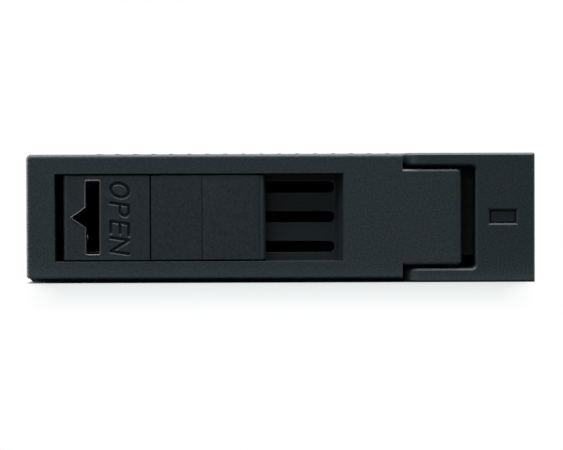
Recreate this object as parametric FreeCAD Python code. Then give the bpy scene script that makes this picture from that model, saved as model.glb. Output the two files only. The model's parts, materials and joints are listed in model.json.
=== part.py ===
# Drive bay adapter: holds a 2.5-inch drive inside the outline of a 3.5-inch drive.
# A door on the front swings on a pin in the hinge fork at its right, and a spring-loaded
# slider in the door hooks behind a lug on the top cover.
# Frame: X to the right seen from the front, Y from front to rear, Z up.
# The origin is the middle of the underside. Every size is in millimetres.
import FreeCAD, Part
import math
import os

# Outline of a 3.5-inch drive
WIDTH = 101.6
LENGTH = 147.0
FORK_TOP = 25.8
RIB_TOP = 25.82
HALF = WIDTH / 2
FRONT = -LENGTH / 2
REAR = LENGTH / 2

# Walls of the two shells, which meet at the split height
WALL = 3.2
FLOOR = 2.2
END_WALL = 2.2
SPLIT_Z = 18.0
COVER_Z = 23.0
COVER_TOP = 25.2
INNER = HALF - WALL
REAR_INNER = REAR - END_WALL
SEAM = 0.25
LIP_THICK = 1.2
LIP_DEPTH = 1.6
LIP_GAP = 0.1
CORNER_ROUND = 1.5
FOOT_BEVEL = 0.6
SNAP_Y = (-36.0, 4.0, 44.0)
SNAP_LENGTH = 9.0
SNAP_REACH = 0.5

# Door panel and the narrower tongue that reaches into the hinge fork
DOOR_DEPTH = 7.0
DOOR_LOW = 0.95
DOOR_HIGH = 25.7
DOOR_ROUND = 0.8
DOOR_CORNER = 1.0
DOOR_FOOT_BEVEL = 0.35
DOOR_MID = 13.05
DOOR_BACK = FRONT + DOOR_DEPTH
SHELL_FRONT = DOOR_BACK + 0.3
PANEL_END = 24.4
TONGUE_END = 36.2
TONGUE_HALF = 9.5
TONGUE_THICK = 3.2
TONGUE_ROUND = 1.2
TONGUE_BEVEL = 0.4
RIM = 2.6
CORE_RIB = 1.3

# Hinge fork at the right front, and its pin
PIN_X = 34.2
PIN_Y = -69.2
PIN_R = 1.0
PIN_BOTTOM = 0.3
PIN_TOP = 24.9
PIN_FIT = 0.02
BORE_GAP = 0.05
BARREL_R = TONGUE_END - PIN_X
ARM_END = 24.8
ARM_LOW = 2.7
ARM_HIGH = 23.25
PILLAR_X = 39.0
PILLAR_WALL = 2.2
FORK_BACK = -57.5
CAVITY_BACK = -65.2
CAVITY_WALL = 2.0
CAVITY_NOTCH = 5.1
CAVITY_ROUND = 0.9
FORK_BEVEL = 0.4
ARM_ROUND = 3.0
PILLAR_ROUND = 0.5

# Latch window in the door, with the finger recess at its right
WINDOW_LEFT = -45.1
WINDOW_RIGHT = 12.66
WINDOW_HALF = 8.78
WINDOW_DEPTH = 4.6
WINDOW_DRAFT = 1.6
POCKET_FLOOR = 1.4
SLOT_LEFT = -7.0
SLOT_RIGHT = 10.9
SLOT_HIGH = 2.27
SLOT_PITCH = 6.0
LEDGE_HIGH = 1.75
POCKET_Y = FRONT + WINDOW_DEPTH
POCKET_BACK = POCKET_Y + POCKET_FLOOR

# Latch slider, its arrow cut-out and its hook
TRAVEL = 1.5
SLIDER_LEFT = -43.4
SLIDER_RIGHT = -26.1
SLIDER_HALF = 8.45
SLIDER_FRONT = FRONT + 0.25
SLIDER_THICK = 2.0
SLIDER_ROUND = 0.9
RUNNER_HIGH = 1.1
RUNNER_GAP = 0.1
ARROW_BAR = (-38.92, -36.05)
ARROW_HALF = 7.38
ARROW_TIP = -41.8
ARROW_HEAD_HALF = 2.0
ARROW_ROUND = 0.4
ARROW_CHAMFER = 0.25
TAIL_END = -9.0
TAIL_HALF = 6.6
TAIL_GAP = 0.4
RELIEF_RIGHT = -34.6
RELIEF_HALF = 6.8
HOOK_LEFT = -43.3
HOOK_THICK = 1.6
HOOK_NOSE = 1.4
HOOK_LOW = 19.2
HOOK_HIGH = 21.2
HOOK_BACK = -61.0
LUG_GAP = 0.3
LUG_THICK = 1.7
LUG_LEFT = -41.3
LUG_RIGHT = -38.3
LUG_LOW = 19.0

# Plate that covers the latch works, fixed by four staked tabs
PLATE_LEFT = -25.8
PLATE_RIGHT = -2.95
PLATE_HALF = 8.4
PLATE_FRONT = FRONT + 0.2
PLATE_THICK = 2.0
PLATE_ROUND = 1.7
PLATE_BACK = PLATE_FRONT + PLATE_THICK
TAB_X = (-23.4, -5.4)
TAB_Z = 7.9
TAB_WIDE = 2.0
TAB_THICK = 0.9
TAB_GAP = 0.05
STAKE_GROW = 0.4
STAKE_HIGH = 0.5

# Latch spring between a post on the door and the end of the slider's tail
SPRING_R = 0.85
SPRING_WIRE = 0.3
SPRING_TURNS = 6
SPRING_SIDES = 10
WIRE_SIDES = 5
SPRING_LEFT = -22.1
SPRING_RIGHT = -10.1
SPRING_Y = -70.1
POST_THICK = 1.2
POST_HALF = 1.4

# Bay for the 2.5-inch drive
BAY_RIGHT = 22.8
RAIL_WIDE = 4.6
RAIL_HIGH = 3.6
RAIL_FRONT = -63.0
RAIL_LEAD = 3.5
RAIL_REAR = 35.5
DIVIDER_REAR = 28.0
KEEPER_Z = 18.9
KEEPER_WIDE = 1.2
KEEPER_RIBS = (0, 14)

# Cooling ribs and slots
RIB_PITCH = 3.66
RIB_FIRST = -36.8
RIB_COUNT = 18
RIB_WIDE = 1.5
RIB_CREST = 0.6
RIB_SHOULDER = 25.5
RIB_FRONT = -64.6
RIB_REAR = 71.0
NOTCH_X = 24.5
NOTCH_Y = -57.2
COVER_BEVEL = 0.7
FLOOR_VENT_WIDE = 3.0
FLOOR_VENT_LONG = 26.0
FLOOR_VENT_ROWS = (-34.0, 4.0)
FLOOR_VENT_X = (-37.0, 7.5, 7)
REAR_VENT_WIDE = 2.0
REAR_VENT_X = (16.0, 4.5, 6)
REAR_VENT_Z = (4.2, 15.0)
STIFFENER_THICK = 1.6
STIFFENER_Z = 21.6

# Circuit board and what it carries
BOARD_Z = 3.0
BOARD_THICK = 1.6
BOARD_TOP = BOARD_Z + BOARD_THICK
BOARD_OUTLINE = ((-43.0, 71.0), (-43.0, 36.0), (46.5, 36.0), (46.5, 57.0), (38.5, 57.0), (38.5, 71.0))
BOARD_SCREWS = ((12.0, 41.0), (-40.4, 54.5))
BOARD_SCREW_R = 1.0
BOARD_HEAD_R = 1.9
BOARD_HEAD_HIGH = 1.2
BOARD_SCREW_END = 0.9
STANDOFF_HALF = 2.6
CAPACITORS = ((20.0, 44.0), (20.0, 48.5), (26.0, 44.0), (-8.0, 52.0))
CAPACITOR_SIZE = (3.2, 1.6, 1.5)
RESISTOR_AT = (38.0, 40.5)
RESISTOR_SIZE = (1.6, 0.8, 0.5)

# Connectors: contacts at one pitch, power and signal groups apart
CONTACT_PITCH = 1.27
CONTACT_WIDE = 0.7
CONTACT_THICK = 0.2
POWER_COUNT = 15
SIGNAL_COUNT = 7
GROUP_GAP = 6.35
CONNECTOR_Z = 7.1
SOCKET_OFFSET = -4.8
SOCKET_X = (BAY_RIGHT - INNER) / 2 + SOCKET_OFFSET
SOCKET_HALF = 20.0
SOCKET_FRONT = 29.5
SOCKET_REAR = 41.0
SOCKET_TOP = 9.6
SOCKET_SLOT = 1.4
SOCKET_DEPTH = 6.0
SOCKET_KEY = 1.3
PLUG_X = -20.68
PLUG_HALF = 21.0
PLUG_FRONT = 61.5
PLUG_BASE = 66.0
PLUG_END = 73.3
PLUG_TOP = 9.6
PLUG_FLANGE_HALF = 22.0
PLUG_FLANGE_TOP = 12.0
PLUG_BLADE = 1.23
PLUG_ARM = 1.8
PLUG_WINDOW = (-42.4, 1.1, 2.9, 11.4)
FOOT_LONG = 1.6

# Light pipe from the status lamp on the board to the window in the pillar
LIGHT_X = 44.43
LIGHT_WINDOW_WIDE = 5.25
LIGHT_WINDOW_HIGH = 2.6
LIGHT_CHAMFER = 0.35
LENS_GAP = 0.28
LENS_SET_BACK = 0.25
FLANGE_GROW = 0.45
FLANGE_THICK = 1.2
PIPE_WIDE = 3.0
PIPE_REAR = 42.0
PIPE_FOOT = 5.7
POST_Y = (-30.0, 10.0)
LAMP_SIZE = (2.0, 1.25, 0.8)

# Fasteners and threaded bushes
CASE_SCREWS = ((30.0, -52.0), (43.5, 66.0))
CASE_SCREW_R = 1.45
CASE_SCREW_TOP = 15.0
CASE_HEAD_R = 2.6
CASE_HEAD_LOW = 0.5
CASE_HEAD_HIGH = 2.3
BOSS_HALF = 3.4
BOSS_TOP = 8.0
FASTENER_GAP = 0.1
SHANK_SIDES = 8
BUSH_SIDES = 6
BUSH_R = 2.3
BUSH_HOLE_R = 1.4
BUSH_LONG = 3.2
SIDE_BUSH_Z = 6.35
SIDE_BUSH_Y = (REAR - 28.5, REAR - 130.1)
BOTTOM_BUSH_X = 95.25 / 2
BOTTOM_BUSH_Y = (REAR - 41.28, REAR - 85.73)
BUSH_PAD = 3.0
BUSH_PAD_TOP = 4.2

# How far a cutter runs past the face that it cuts, how far a joined piece runs into its
# neighbour, and how near counts as touching
PAST = 1.0
INTO = 0.5
NEAR = 0.01


def vector(point):
    """A point or direction as FreeCAD wants it."""
    return FreeCAD.Vector(*point)


def block(x, y, z):
    """Box between two places on each axis."""
    low = FreeCAD.Vector(x[0], y[0], z[0])
    return Part.makeBox(x[1] - x[0], y[1] - y[0], z[1] - z[0], low)


def rod(radius, start, end):
    """Round bar from one point to another."""
    way = vector(end) - vector(start)
    return Part.makeCylinder(radius, way.Length, vector(start), way)


def prism(points, way):
    """Flat outline pushed along a direction."""
    corners = [vector(point) for point in points]
    outline = Part.makePolygon(corners + corners[:1])
    return Part.Face(outline).extrude(vector(way))


def rectangle(x, z, y):
    """Upright rectangular wire at one depth."""
    corners = [(x[0], y, z[0]), (x[1], y, z[0]), (x[1], y, z[1]), (x[0], y, z[1])]
    return Part.makePolygon([vector(corner) for corner in corners + corners[:1]])


def many_sided(sides, radius, start, end):
    """Bar with a regular many-sided section from one point to another."""
    way = vector(end) - vector(start)
    turns = [2 * math.pi * number / sides for number in range(sides)]
    corners = [(radius * math.cos(turn), radius * math.sin(turn), 0) for turn in turns]
    bar = prism(corners, (0, 0, way.Length))
    bar.Placement = FreeCAD.Placement(vector(start), FreeCAD.Rotation(vector((0, 0, 1)), way))
    return bar


def joined(shapes):
    """All shapes as one solid, with the seams between coplanar faces taken out."""
    return shapes[0].multiFuse(shapes[1:]).removeSplitter()


def square_post(x, y, half, z):
    """Square post about an upright line."""
    return block(about(x, half), about(y, half), z)


def edges_where(shape, test):
    """The edges whose bounding box passes a test."""
    return [edge for edge in shape.Edges if test(edge.BoundBox)]


def about(middle, half):
    """Two places the same distance either side of a middle."""
    return (middle - half, middle + half)


def steps(first, pitch, count):
    """Evenly spaced places."""
    return [first + number * pitch for number in range(count)]


def hinge_fork():
    """Pillar and two arms; the arm ends are arcs about the pin so that the door can swing."""
    reach = PIN_X - ARM_END
    lean = math.asin((PIN_Y - FRONT) / reach)
    tip = (PIN_X - reach * math.cos(lean), FRONT, 0)
    bend = (PIN_X - reach * math.cos(lean / 2), PIN_Y - reach * math.sin(lean / 2), 0)
    corners = [tip, (HALF, FRONT, 0), (HALF, FORK_BACK, 0),
               (ARM_END, FORK_BACK, 0), (ARM_END, PIN_Y, 0)]
    sides = [Part.makeLine(vector(a), vector(b)) for a, b in zip(corners, corners[1:])]
    sides.append(Part.Arc(vector(corners[-1]), vector(bend), vector(tip)).toShape())
    fork = Part.Face(Part.Wire(sides)).extrude(FreeCAD.Vector(0, 0, FORK_TOP))
    fork = fork.makeFillet(ARM_ROUND, edges_where(
        fork, lambda box: box.YMax < FRONT + NEAR and box.XMax < PILLAR_X and box.XLength < NEAR))
    fork = fork.makeFillet(PILLAR_ROUND, edges_where(
        fork, lambda box: box.XMin > HALF - NEAR and box.ZMin > FORK_TOP - NEAR))

    cavity = block((ARM_END - PAST, PILLAR_X), (FRONT - PAST, CAVITY_BACK), (ARM_LOW, ARM_HIGH))
    inner_corners = edges_where(
        cavity, lambda box: box.XMin > PILLAR_X - NEAR and box.ZLength < NEAR)
    fork = fork.cut(cavity.makeFillet(CAVITY_ROUND, inner_corners))
    fork = fork.makeChamfer(FORK_BEVEL, edges_where(
        fork, lambda box: box.YMax < FRONT + NEAR
        and (box.XLength > NEAR or box.XMin > PILLAR_X - NEAR)))

    behind = (CAVITY_BACK + CAVITY_WALL, FORK_BACK + PAST)
    fork = fork.cut(block((ARM_END + CAVITY_WALL, PILLAR_X), behind, (FLOOR, ARM_HIGH)))
    notch = (CAVITY_BACK - NEAR, FORK_BACK)
    fork = fork.cut(block((TONGUE_END, PILLAR_X), notch, (ARM_LOW, CAVITY_NOTCH)))
    deep = (FRONT + PILLAR_WALL, FORK_BACK + PAST)
    fork = fork.cut(block((PILLAR_X + CAVITY_WALL, INNER), deep, (FLOOR, ARM_HIGH)))
    return fork.cut(light_window())


def light_window():
    """Cutter for the lens window in the pillar, flared at its front rim."""
    x = about(LIGHT_X, LIGHT_WINDOW_WIDE / 2)
    z = about(DOOR_MID, LIGHT_WINDOW_HIGH / 2)
    hole = block(x, (FRONT - PAST, FRONT + PILLAR_WALL + PAST), z)
    wide_x = about(LIGHT_X, LIGHT_WINDOW_WIDE / 2 + LIGHT_CHAMFER)
    wide_z = about(DOOR_MID, LIGHT_WINDOW_HIGH / 2 + LIGHT_CHAMFER)
    rims = [rectangle(wide_x, wide_z, FRONT), rectangle(x, z, FRONT + LIGHT_CHAMFER)]
    return hole.fuse(Part.makeLoft(rims, True, True))


def base_shell():
    """Lower moulding: floor, walls, drive rails, bay divider, bosses and the hinge fork."""
    above = SPLIT_Z + PAST
    ahead = SHELL_FRONT - PAST
    tub = rounded_rear(block((-HALF, HALF), (SHELL_FRONT, REAR), (0, SPLIT_Z)))
    tub = tub.makeChamfer(FOOT_BEVEL, edges_where(
        tub, lambda box: box.ZMax < NEAR and box.YMax > SHELL_FRONT + NEAR))
    tub = tub.cut(block((-INNER, INNER), (ahead, REAR_INNER), (FLOOR, above)))
    tub = tub.cut(block((ARM_END, HALF + PAST), (ahead, FORK_BACK), (-PAST, above)))
    parts = [tub, hinge_fork()]
    parts.append(block((BAY_RIGHT, ARM_END), (SHELL_FRONT, DIVIDER_REAR), (FLOOR, SPLIT_Z)))
    for left in (-INNER, BAY_RIGHT - RAIL_WIDE):
        side = [(left, RAIL_FRONT, FLOOR), (left, RAIL_FRONT + RAIL_LEAD, RAIL_HIGH),
                (left, RAIL_REAR, RAIL_HIGH), (left, RAIL_REAR, FLOOR)]
        parts.append(prism(side, (RAIL_WIDE, 0, 0)))
    for x, y in BOARD_SCREWS:
        parts.append(square_post(x, y, STANDOFF_HALF, (FLOOR, BOARD_Z)))
    for x, y in CASE_SCREWS:
        parts.append(square_post(x, y, BOSS_HALF, (FLOOR, BOSS_TOP)))
    for y in BOTTOM_BUSH_Y:
        parts.append(block((INNER - BUSH_PAD, INNER), about(y, BUSH_PAD), (FLOOR, BUSH_PAD_TOP)))
    for y in POST_Y:
        parts.append(pipe_post(y))
    return joined(parts).cut(joined(base_cutters()))


def rounded_rear(shell):
    """A shell block with its two upright rear corners rounded."""
    upright = edges_where(shell, lambda box: box.YMin > REAR - NEAR and box.XLength < NEAR)
    return shell.makeFillet(CORNER_ROUND, upright)


def pipe_post(y):
    """Forked post that holds the light pipe's rod."""
    low = DOOR_MID - PIPE_WIDE / 2
    thick = END_WALL / 2
    post = block(about(LIGHT_X, PIPE_WIDE / 2 + thick), about(y, thick), (FLOOR, DOOR_MID))
    rod_wide = about(LIGHT_X, PIPE_WIDE / 2 + BORE_GAP)
    return post.cut(block(rod_wide, about(y, END_WALL), (low, DOOR_MID + PAST)))


def base_cutters():
    """Everything that is cut out of the base shell: holes, vents, rebates and the seam groove."""
    through = (-PAST, FLOOR + PAST)
    rear = (REAR_INNER - PAST, REAR + PAST)
    cutters = [rod(PIN_R + PIN_FIT, (PIN_X, PIN_Y, -PAST), (PIN_X, PIN_Y, PIN_TOP + LIP_GAP))]
    for y in FLOOR_VENT_ROWS:
        for x in steps(*FLOOR_VENT_X):
            cutters.append(block(about(x, FLOOR_VENT_WIDE / 2), about(y, FLOOR_VENT_LONG / 2), through))
    for x in steps(*REAR_VENT_X):
        cutters.append(block(about(x, REAR_VENT_WIDE / 2), rear, REAR_VENT_Z))
    cutters.append(block(PLUG_WINDOW[:2], rear, PLUG_WINDOW[2:]))
    for x, y in BOARD_SCREWS:
        end = BOARD_SCREW_END - LIP_GAP
        cutters.append(rod(BOARD_SCREW_R + BORE_GAP, (x, y, end), (x, y, BOARD_Z + PAST)))
    for x, y in CASE_SCREWS:
        cutters.append(rod(CASE_SCREW_R + FASTENER_GAP, (x, y, -PAST), (x, y, BOSS_TOP + PAST)))
        cutters.append(rod(CASE_HEAD_R + FASTENER_GAP, (x, y, -PAST), (x, y, CASE_HEAD_HIGH)))
    for bush in bush_places():
        cutters.append(many_sided(BUSH_SIDES, BUSH_R, *bush))
    rebate = (SPLIT_Z - LIP_DEPTH - LIP_GAP, SPLIT_Z + PAST)
    thick = LIP_THICK + LIP_GAP
    cutters.append(block((-INNER - thick, -INNER + NEAR), (SHELL_FRONT + WALL, REAR_INNER), rebate))
    cutters.append(block((INNER - NEAR, INNER + thick), (FORK_BACK + WALL, REAR_INNER), rebate))
    for y in SNAP_Y:
        cutters.append(snap_wedge(y, LIP_GAP))
    seam = (SPLIT_Z - SEAM, SPLIT_Z + PAST)
    for x in ((-HALF - PAST, -HALF + SEAM), (HALF - SEAM, HALF + PAST)):
        cutters.append(block(x, (FORK_BACK + SEAM, REAR + PAST), seam))
    return cutters


def snap_wedge(y, gap):
    """Snap nose on the cover's left lip, or with a gap the pocket that takes it."""
    root = -INNER - LIP_THICK + NEAR
    low = SPLIT_Z - LIP_DEPTH
    high = low + 2 * SNAP_REACH + gap
    tip = root - SNAP_REACH - gap
    start = y - SNAP_LENGTH / 2 - gap
    side = [(root, start, low - gap), (tip, start, low + SNAP_REACH), (tip, start, high), (root, start, high)]
    return prism(side, (0, SNAP_LENGTH + 2 * gap, 0))


def bush_places():
    """Start and end of every threaded bush: two on each side, four below."""
    return side_bush_places() + bottom_bush_places()


def side_bush_places():
    """Bushes in the side walls."""
    places = []
    for y in SIDE_BUSH_Y:
        places.append(((-HALF, y, SIDE_BUSH_Z), (-HALF + BUSH_LONG, y, SIDE_BUSH_Z)))
        places.append(((HALF, y, SIDE_BUSH_Z), (HALF - BUSH_LONG, y, SIDE_BUSH_Z)))
    return places


def bottom_bush_places():
    """Bushes in the floor."""
    places = []
    for y in BOTTOM_BUSH_Y:
        for x in (-BOTTOM_BUSH_X, BOTTOM_BUSH_X):
            places.append(((x, y, 0), (x, y, BUSH_LONG)))
    return places


def bushes(places):
    """Six-sided press-in bushes as a group, with plain holes for their threads."""
    bodies = [many_sided(BUSH_SIDES, BUSH_R, *place) for place in places]
    holes = [rod(BUSH_HOLE_R, *place) for place in places]
    return Part.makeCompound([body.cut(hole) for body, hole in zip(bodies, holes)])


def top_cover():
    """Upper moulding: ribbed plate, skirts, drive keepers, catch lug and screw bosses."""
    ahead = SHELL_FRONT - PAST
    below = SPLIT_Z - PAST
    shell = rounded_rear(block((-HALF, HALF), (SHELL_FRONT, REAR), (SPLIT_Z, COVER_TOP)))
    shell = shell.makeChamfer(COVER_BEVEL, edges_where(
        shell, lambda box: box.ZMin > COVER_TOP - NEAR and box.YMax > SHELL_FRONT + NEAR))
    shell = shell.cut(block((-INNER, INNER), (ahead, REAR_INNER), (below, COVER_Z)))
    shell = shell.cut(block((NOTCH_X, HALF + PAST), (ahead, NOTCH_Y), (below, COVER_TOP + PAST)))
    parts = [shell] + cover_ribs() + cover_lips()
    front_edge = (SHELL_FRONT, SHELL_FRONT + STIFFENER_THICK)
    parts.append(block((-INNER, NOTCH_X), front_edge, (STIFFENER_Z, COVER_Z)))
    lug_back = HOOK_BACK - HOOK_THICK - LUG_GAP
    parts.append(block((LUG_LEFT, LUG_RIGHT), (lug_back - LUG_THICK, lug_back), (LUG_LOW, COVER_Z)))
    for number in KEEPER_RIBS:
        x = RIB_FIRST + number * RIB_PITCH
        parts.append(block(about(x, KEEPER_WIDE / 2), (FORK_BACK, DIVIDER_REAR), (KEEPER_Z, COVER_Z)))
    for x, y in CASE_SCREWS:
        parts.append(square_post(x, y, BOSS_HALF, (BOSS_TOP + LIP_GAP, COVER_Z)))
    return joined(parts).cut(joined(cover_cutters()))


def cover_ribs():
    """Cooling ribs with bevelled crests along the cover."""
    ribs = []
    root = COVER_TOP - SEAM
    for x in steps(RIB_FIRST, RIB_PITCH, RIB_COUNT):
        start = RIB_FRONT if x + RIB_WIDE < NOTCH_X else NOTCH_Y + STIFFENER_THICK
        left, right = about(x, RIB_WIDE / 2)
        crest_left, crest_right = about(x, RIB_CREST / 2)
        section = [(left, root), (right, root), (right, RIB_SHOULDER), (crest_right, RIB_TOP),
                   (crest_left, RIB_TOP), (left, RIB_SHOULDER)]
        ribs.append(prism([(a, start, z) for a, z in section], (0, RIB_REAR - start, 0)))
    return ribs


def cover_lips():
    """Lips that drop inside the base shell's walls, with snap noses on the left one."""
    depth = (SPLIT_Z - LIP_DEPTH, SPLIT_Z + PAST)
    inside = REAR_INNER - LIP_GAP
    lips = [block((-INNER - LIP_THICK, -INNER), (SHELL_FRONT + WALL + LIP_GAP, inside), depth)]
    lips.append(block((INNER, INNER + LIP_THICK), (FORK_BACK + WALL + LIP_GAP, inside), depth))
    return lips + [snap_wedge(y, 0) for y in SNAP_Y]


def cover_cutters():
    """Screw pilots and the seam groove."""
    cutters = []
    for x, y in CASE_SCREWS:
        cutters.append(rod(CASE_SCREW_R + BORE_GAP, (x, y, BOSS_TOP), (x, y, CASE_SCREW_TOP + PAST)))
    for x in ((-HALF - PAST, -HALF + SEAM), (HALF - SEAM, HALF + PAST)):
        cutters.append(block(x, (NOTCH_Y, REAR + PAST), (SPLIT_Z - PAST, SPLIT_Z + SEAM)))
    return cutters


def front_door():
    """Door panel with its tongue and hinge barrel, latch pocket, cooling slots and cored back."""
    panel = block((-HALF, PANEL_END), (FRONT, DOOR_BACK), (DOOR_LOW, DOOR_HIGH))
    panel = panel.makeFillet(DOOR_CORNER, edges_where(
        panel, lambda box: box.XMax < NEAR - HALF and box.ZMin > DOOR_HIGH - NEAR))
    panel = panel.makeFillet(DOOR_ROUND, edges_where(
        panel, lambda box: box.YMax < FRONT + NEAR and box.ZMin > DOOR_HIGH - NEAR))
    panel = panel.makeChamfer(DOOR_FOOT_BEVEL, edges_where(
        panel, lambda box: box.YMax < FRONT + NEAR and box.ZMax < DOOR_LOW + NEAR))
    door = joined([panel, tongue()]).cut(window_cutter())
    return joined([door] + door_ledges()).cut(joined(door_cutters()))


def tongue():
    """Narrow end of the door between the fork's arms, with the barrel round the pin."""
    high = about(DOOR_MID, TONGUE_HALF)
    back = FRONT + TONGUE_THICK
    plate = block((PANEL_END - DOOR_DEPTH / 2, TONGUE_END), (FRONT, back), high)
    plate = plate.makeFillet(TONGUE_ROUND, edges_where(
        plate, lambda box: box.YMax < FRONT + NEAR and box.XMin > TONGUE_END - NEAR))
    plate = plate.makeChamfer(TONGUE_BEVEL, edges_where(
        plate, lambda box: box.YMin < FRONT + NEAR and box.ZLength < NEAR and box.XMax > PANEL_END))
    root = block(about(PIN_X, BARREL_R), (back - INTO, PIN_Y), high)
    return joined([plate, root, rod(BARREL_R, (PIN_X, PIN_Y, high[0]), (PIN_X, PIN_Y, high[1]))])


def window_cutter():
    """Latch window, with a drafted wall at the finger recess end."""
    plan = [(WINDOW_LEFT, FRONT - PAST), (WINDOW_RIGHT, FRONT - PAST), (WINDOW_RIGHT, FRONT),
            (WINDOW_RIGHT - WINDOW_DRAFT, POCKET_Y), (WINDOW_LEFT, POCKET_Y)]
    low = DOOR_MID - WINDOW_HALF
    return prism([(x, y, low) for x, y in plan], (0, 0, 2 * WINDOW_HALF))


def door_ledges():
    """Two ledges that carry the latch cover, and the post that the spring pushes on."""
    x = (PLATE_LEFT + BORE_GAP, PLATE_RIGHT)
    y = (PLATE_BACK, POCKET_Y + INTO)
    low = DOOR_MID - WINDOW_HALF
    high = DOOR_MID + WINDOW_HALF
    ledges = [block(x, y, (low - INTO, low + LEDGE_HIGH)),
              block(x, y, (high - LEDGE_HIGH, high + INTO))]
    post_x = (SPRING_LEFT - POST_THICK, SPRING_LEFT)
    post_y = (SPRING_Y - SPRING_R, POCKET_Y + INTO)
    return ledges + [block(post_x, post_y, about(DOOR_MID, POST_HALF))]


def door_cutters():
    """Cooling slots, hook slot, tab slots, pin bore and the cored back of the door."""
    through = (POCKET_Y - NEAR, DOOR_BACK + PAST)
    cutters = [rod(PIN_R + BORE_GAP, (PIN_X, PIN_Y, 0), (PIN_X, PIN_Y, FORK_TOP))]
    slot_end = SLOT_RIGHT - SLOT_HIGH / 2
    for z in (DOOR_MID - SLOT_PITCH, DOOR_MID, DOOR_MID + SLOT_PITCH):
        cutters.append(block((SLOT_LEFT, slot_end), through, about(z, SLOT_HIGH / 2)))
        cutters.append(rod(SLOT_HIGH / 2, (slot_end, through[0], z), (slot_end, through[1], z)))
    cutters.append(block((WINDOW_LEFT, RELIEF_RIGHT), through, about(DOOR_MID, RELIEF_HALF)))
    cutters.append(block((WINDOW_LEFT, SLIDER_LEFT), through, about(DOOR_MID, WINDOW_HALF)))
    hook_high = (HOOK_LOW - LUG_GAP, HOOK_HIGH + LUG_GAP)
    hook_right = HOOK_LEFT + HOOK_THICK + HOOK_NOSE + LUG_GAP
    cutters.append(block((WINDOW_LEFT, hook_right), through, hook_high))
    cutters += cover_tabs((PLATE_BACK - PAST, DOOR_BACK + PAST), TAB_GAP)
    high = (DOOR_LOW + RIM, DOOR_HIGH - RIM)
    cutters.append(block((-HALF + RIM, WINDOW_RIGHT), (POCKET_BACK, DOOR_BACK + PAST), high))
    core_x = (WINDOW_RIGHT + RIM, PANEL_END - RIM)
    core_y = (FRONT + TONGUE_THICK, DOOR_BACK + PAST)
    cutters.append(block(core_x, core_y, (high[0], DOOR_MID - CORE_RIB / 2)))
    cutters.append(block(core_x, core_y, (DOOR_MID + CORE_RIB / 2, high[1])))
    return cutters


def cover_tabs(y, grow):
    """The latch cover's four tabs over one depth, grown for their slots or staked heads."""
    tabs = []
    for x in TAB_X:
        for z in about(DOOR_MID, TAB_Z):
            tabs.append(block(about(x, TAB_WIDE / 2 + grow), y, about(z, TAB_THICK / 2 + grow)))
    return tabs


def latch_slider():
    """Sliding button with the arrow cut-out, runners, a tail under the cover and the hook."""
    back = SLIDER_FRONT + SLIDER_THICK
    low, high = about(DOOR_MID, SLIDER_HALF)
    plate = block((SLIDER_LEFT, SLIDER_RIGHT), (SLIDER_FRONT, back), (low, high))
    plate = plate.makeFillet(SLIDER_ROUND, edges_where(
        plate, lambda box: box.YMax < SLIDER_FRONT + NEAR and box.XMax < SLIDER_LEFT + NEAR))
    plate = plate.cut(arrow())
    plate = plate.makeChamfer(ARROW_CHAMFER, edges_where(
        plate, lambda box: box.YMax < SLIDER_FRONT + NEAR
        and box.XMin > ARROW_TIP - NEAR and box.XMax < ARROW_BAR[1] + NEAR))
    floor = POCKET_Y - RUNNER_GAP
    runners_x = (SLIDER_LEFT, SLIDER_RIGHT - TRAVEL)
    parts = [plate]
    parts.append(block(runners_x, (back - INTO, floor), (low, low + RUNNER_HIGH)))
    parts.append(block(runners_x, (back - INTO, floor), (high - RUNNER_HIGH, high)))
    return joined(parts + [slider_hook(back - INTO)] + slider_tail(back))


def slider_hook(start):
    """Leg through the door with a nose at its end, bevelled to ride over the lug as the door shuts."""
    inner = HOOK_LEFT + HOOK_THICK
    tip = inner + HOOK_NOSE
    shoulder = HOOK_BACK - HOOK_THICK
    plan = [(HOOK_LEFT, start), (inner, start), (inner, shoulder), (tip, shoulder),
            (tip, HOOK_BACK - HOOK_THICK / 2), (inner, HOOK_BACK), (HOOK_LEFT, HOOK_BACK)]
    return prism([(x, y, HOOK_LOW) for x, y in plan], (0, 0, HOOK_HIGH - HOOK_LOW))


def slider_tail(back):
    """Flat tail under the latch cover, with a window for the spring and its post."""
    y = (PLATE_BACK + TAIL_GAP, POCKET_Y - TAIL_GAP)
    root = SLIDER_RIGHT - 2 * TRAVEL
    tail = block((root, TAIL_END), y, about(DOOR_MID, TAIL_HALF))
    free_x = (SPRING_LEFT - POST_THICK - LUG_GAP, SPRING_RIGHT)
    free_z = about(DOOR_MID, POST_HALF + LUG_GAP)
    tail = tail.cut(block(free_x, (y[0] - PAST, y[1] + PAST), free_z))
    web = block((root, SLIDER_RIGHT - NEAR), (back - INTO, y[1]), about(DOOR_MID, TAIL_HALF))
    return [tail, web]


def arrow():
    """Arrow that points the way to slide, as a cutter through the slider's plate."""
    bar_left, bar_right = ARROW_BAR
    outline = [(bar_right, -ARROW_HALF), (bar_right, ARROW_HALF), (bar_left, ARROW_HALF),
               (bar_left, ARROW_HEAD_HALF), (ARROW_TIP, 0), (bar_left, -ARROW_HEAD_HALF),
               (bar_left, -ARROW_HALF)]
    start = SLIDER_FRONT - PAST
    cutter = prism([(x, start, DOOR_MID + z) for x, z in outline], (0, SLIDER_THICK + 2 * PAST, 0))
    return cutter.makeFillet(ARROW_ROUND, edges_where(
        cutter, lambda box: box.YLength > PAST and abs(box.ZMin - DOOR_MID) > ARROW_HALF - PAST / 2))


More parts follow.
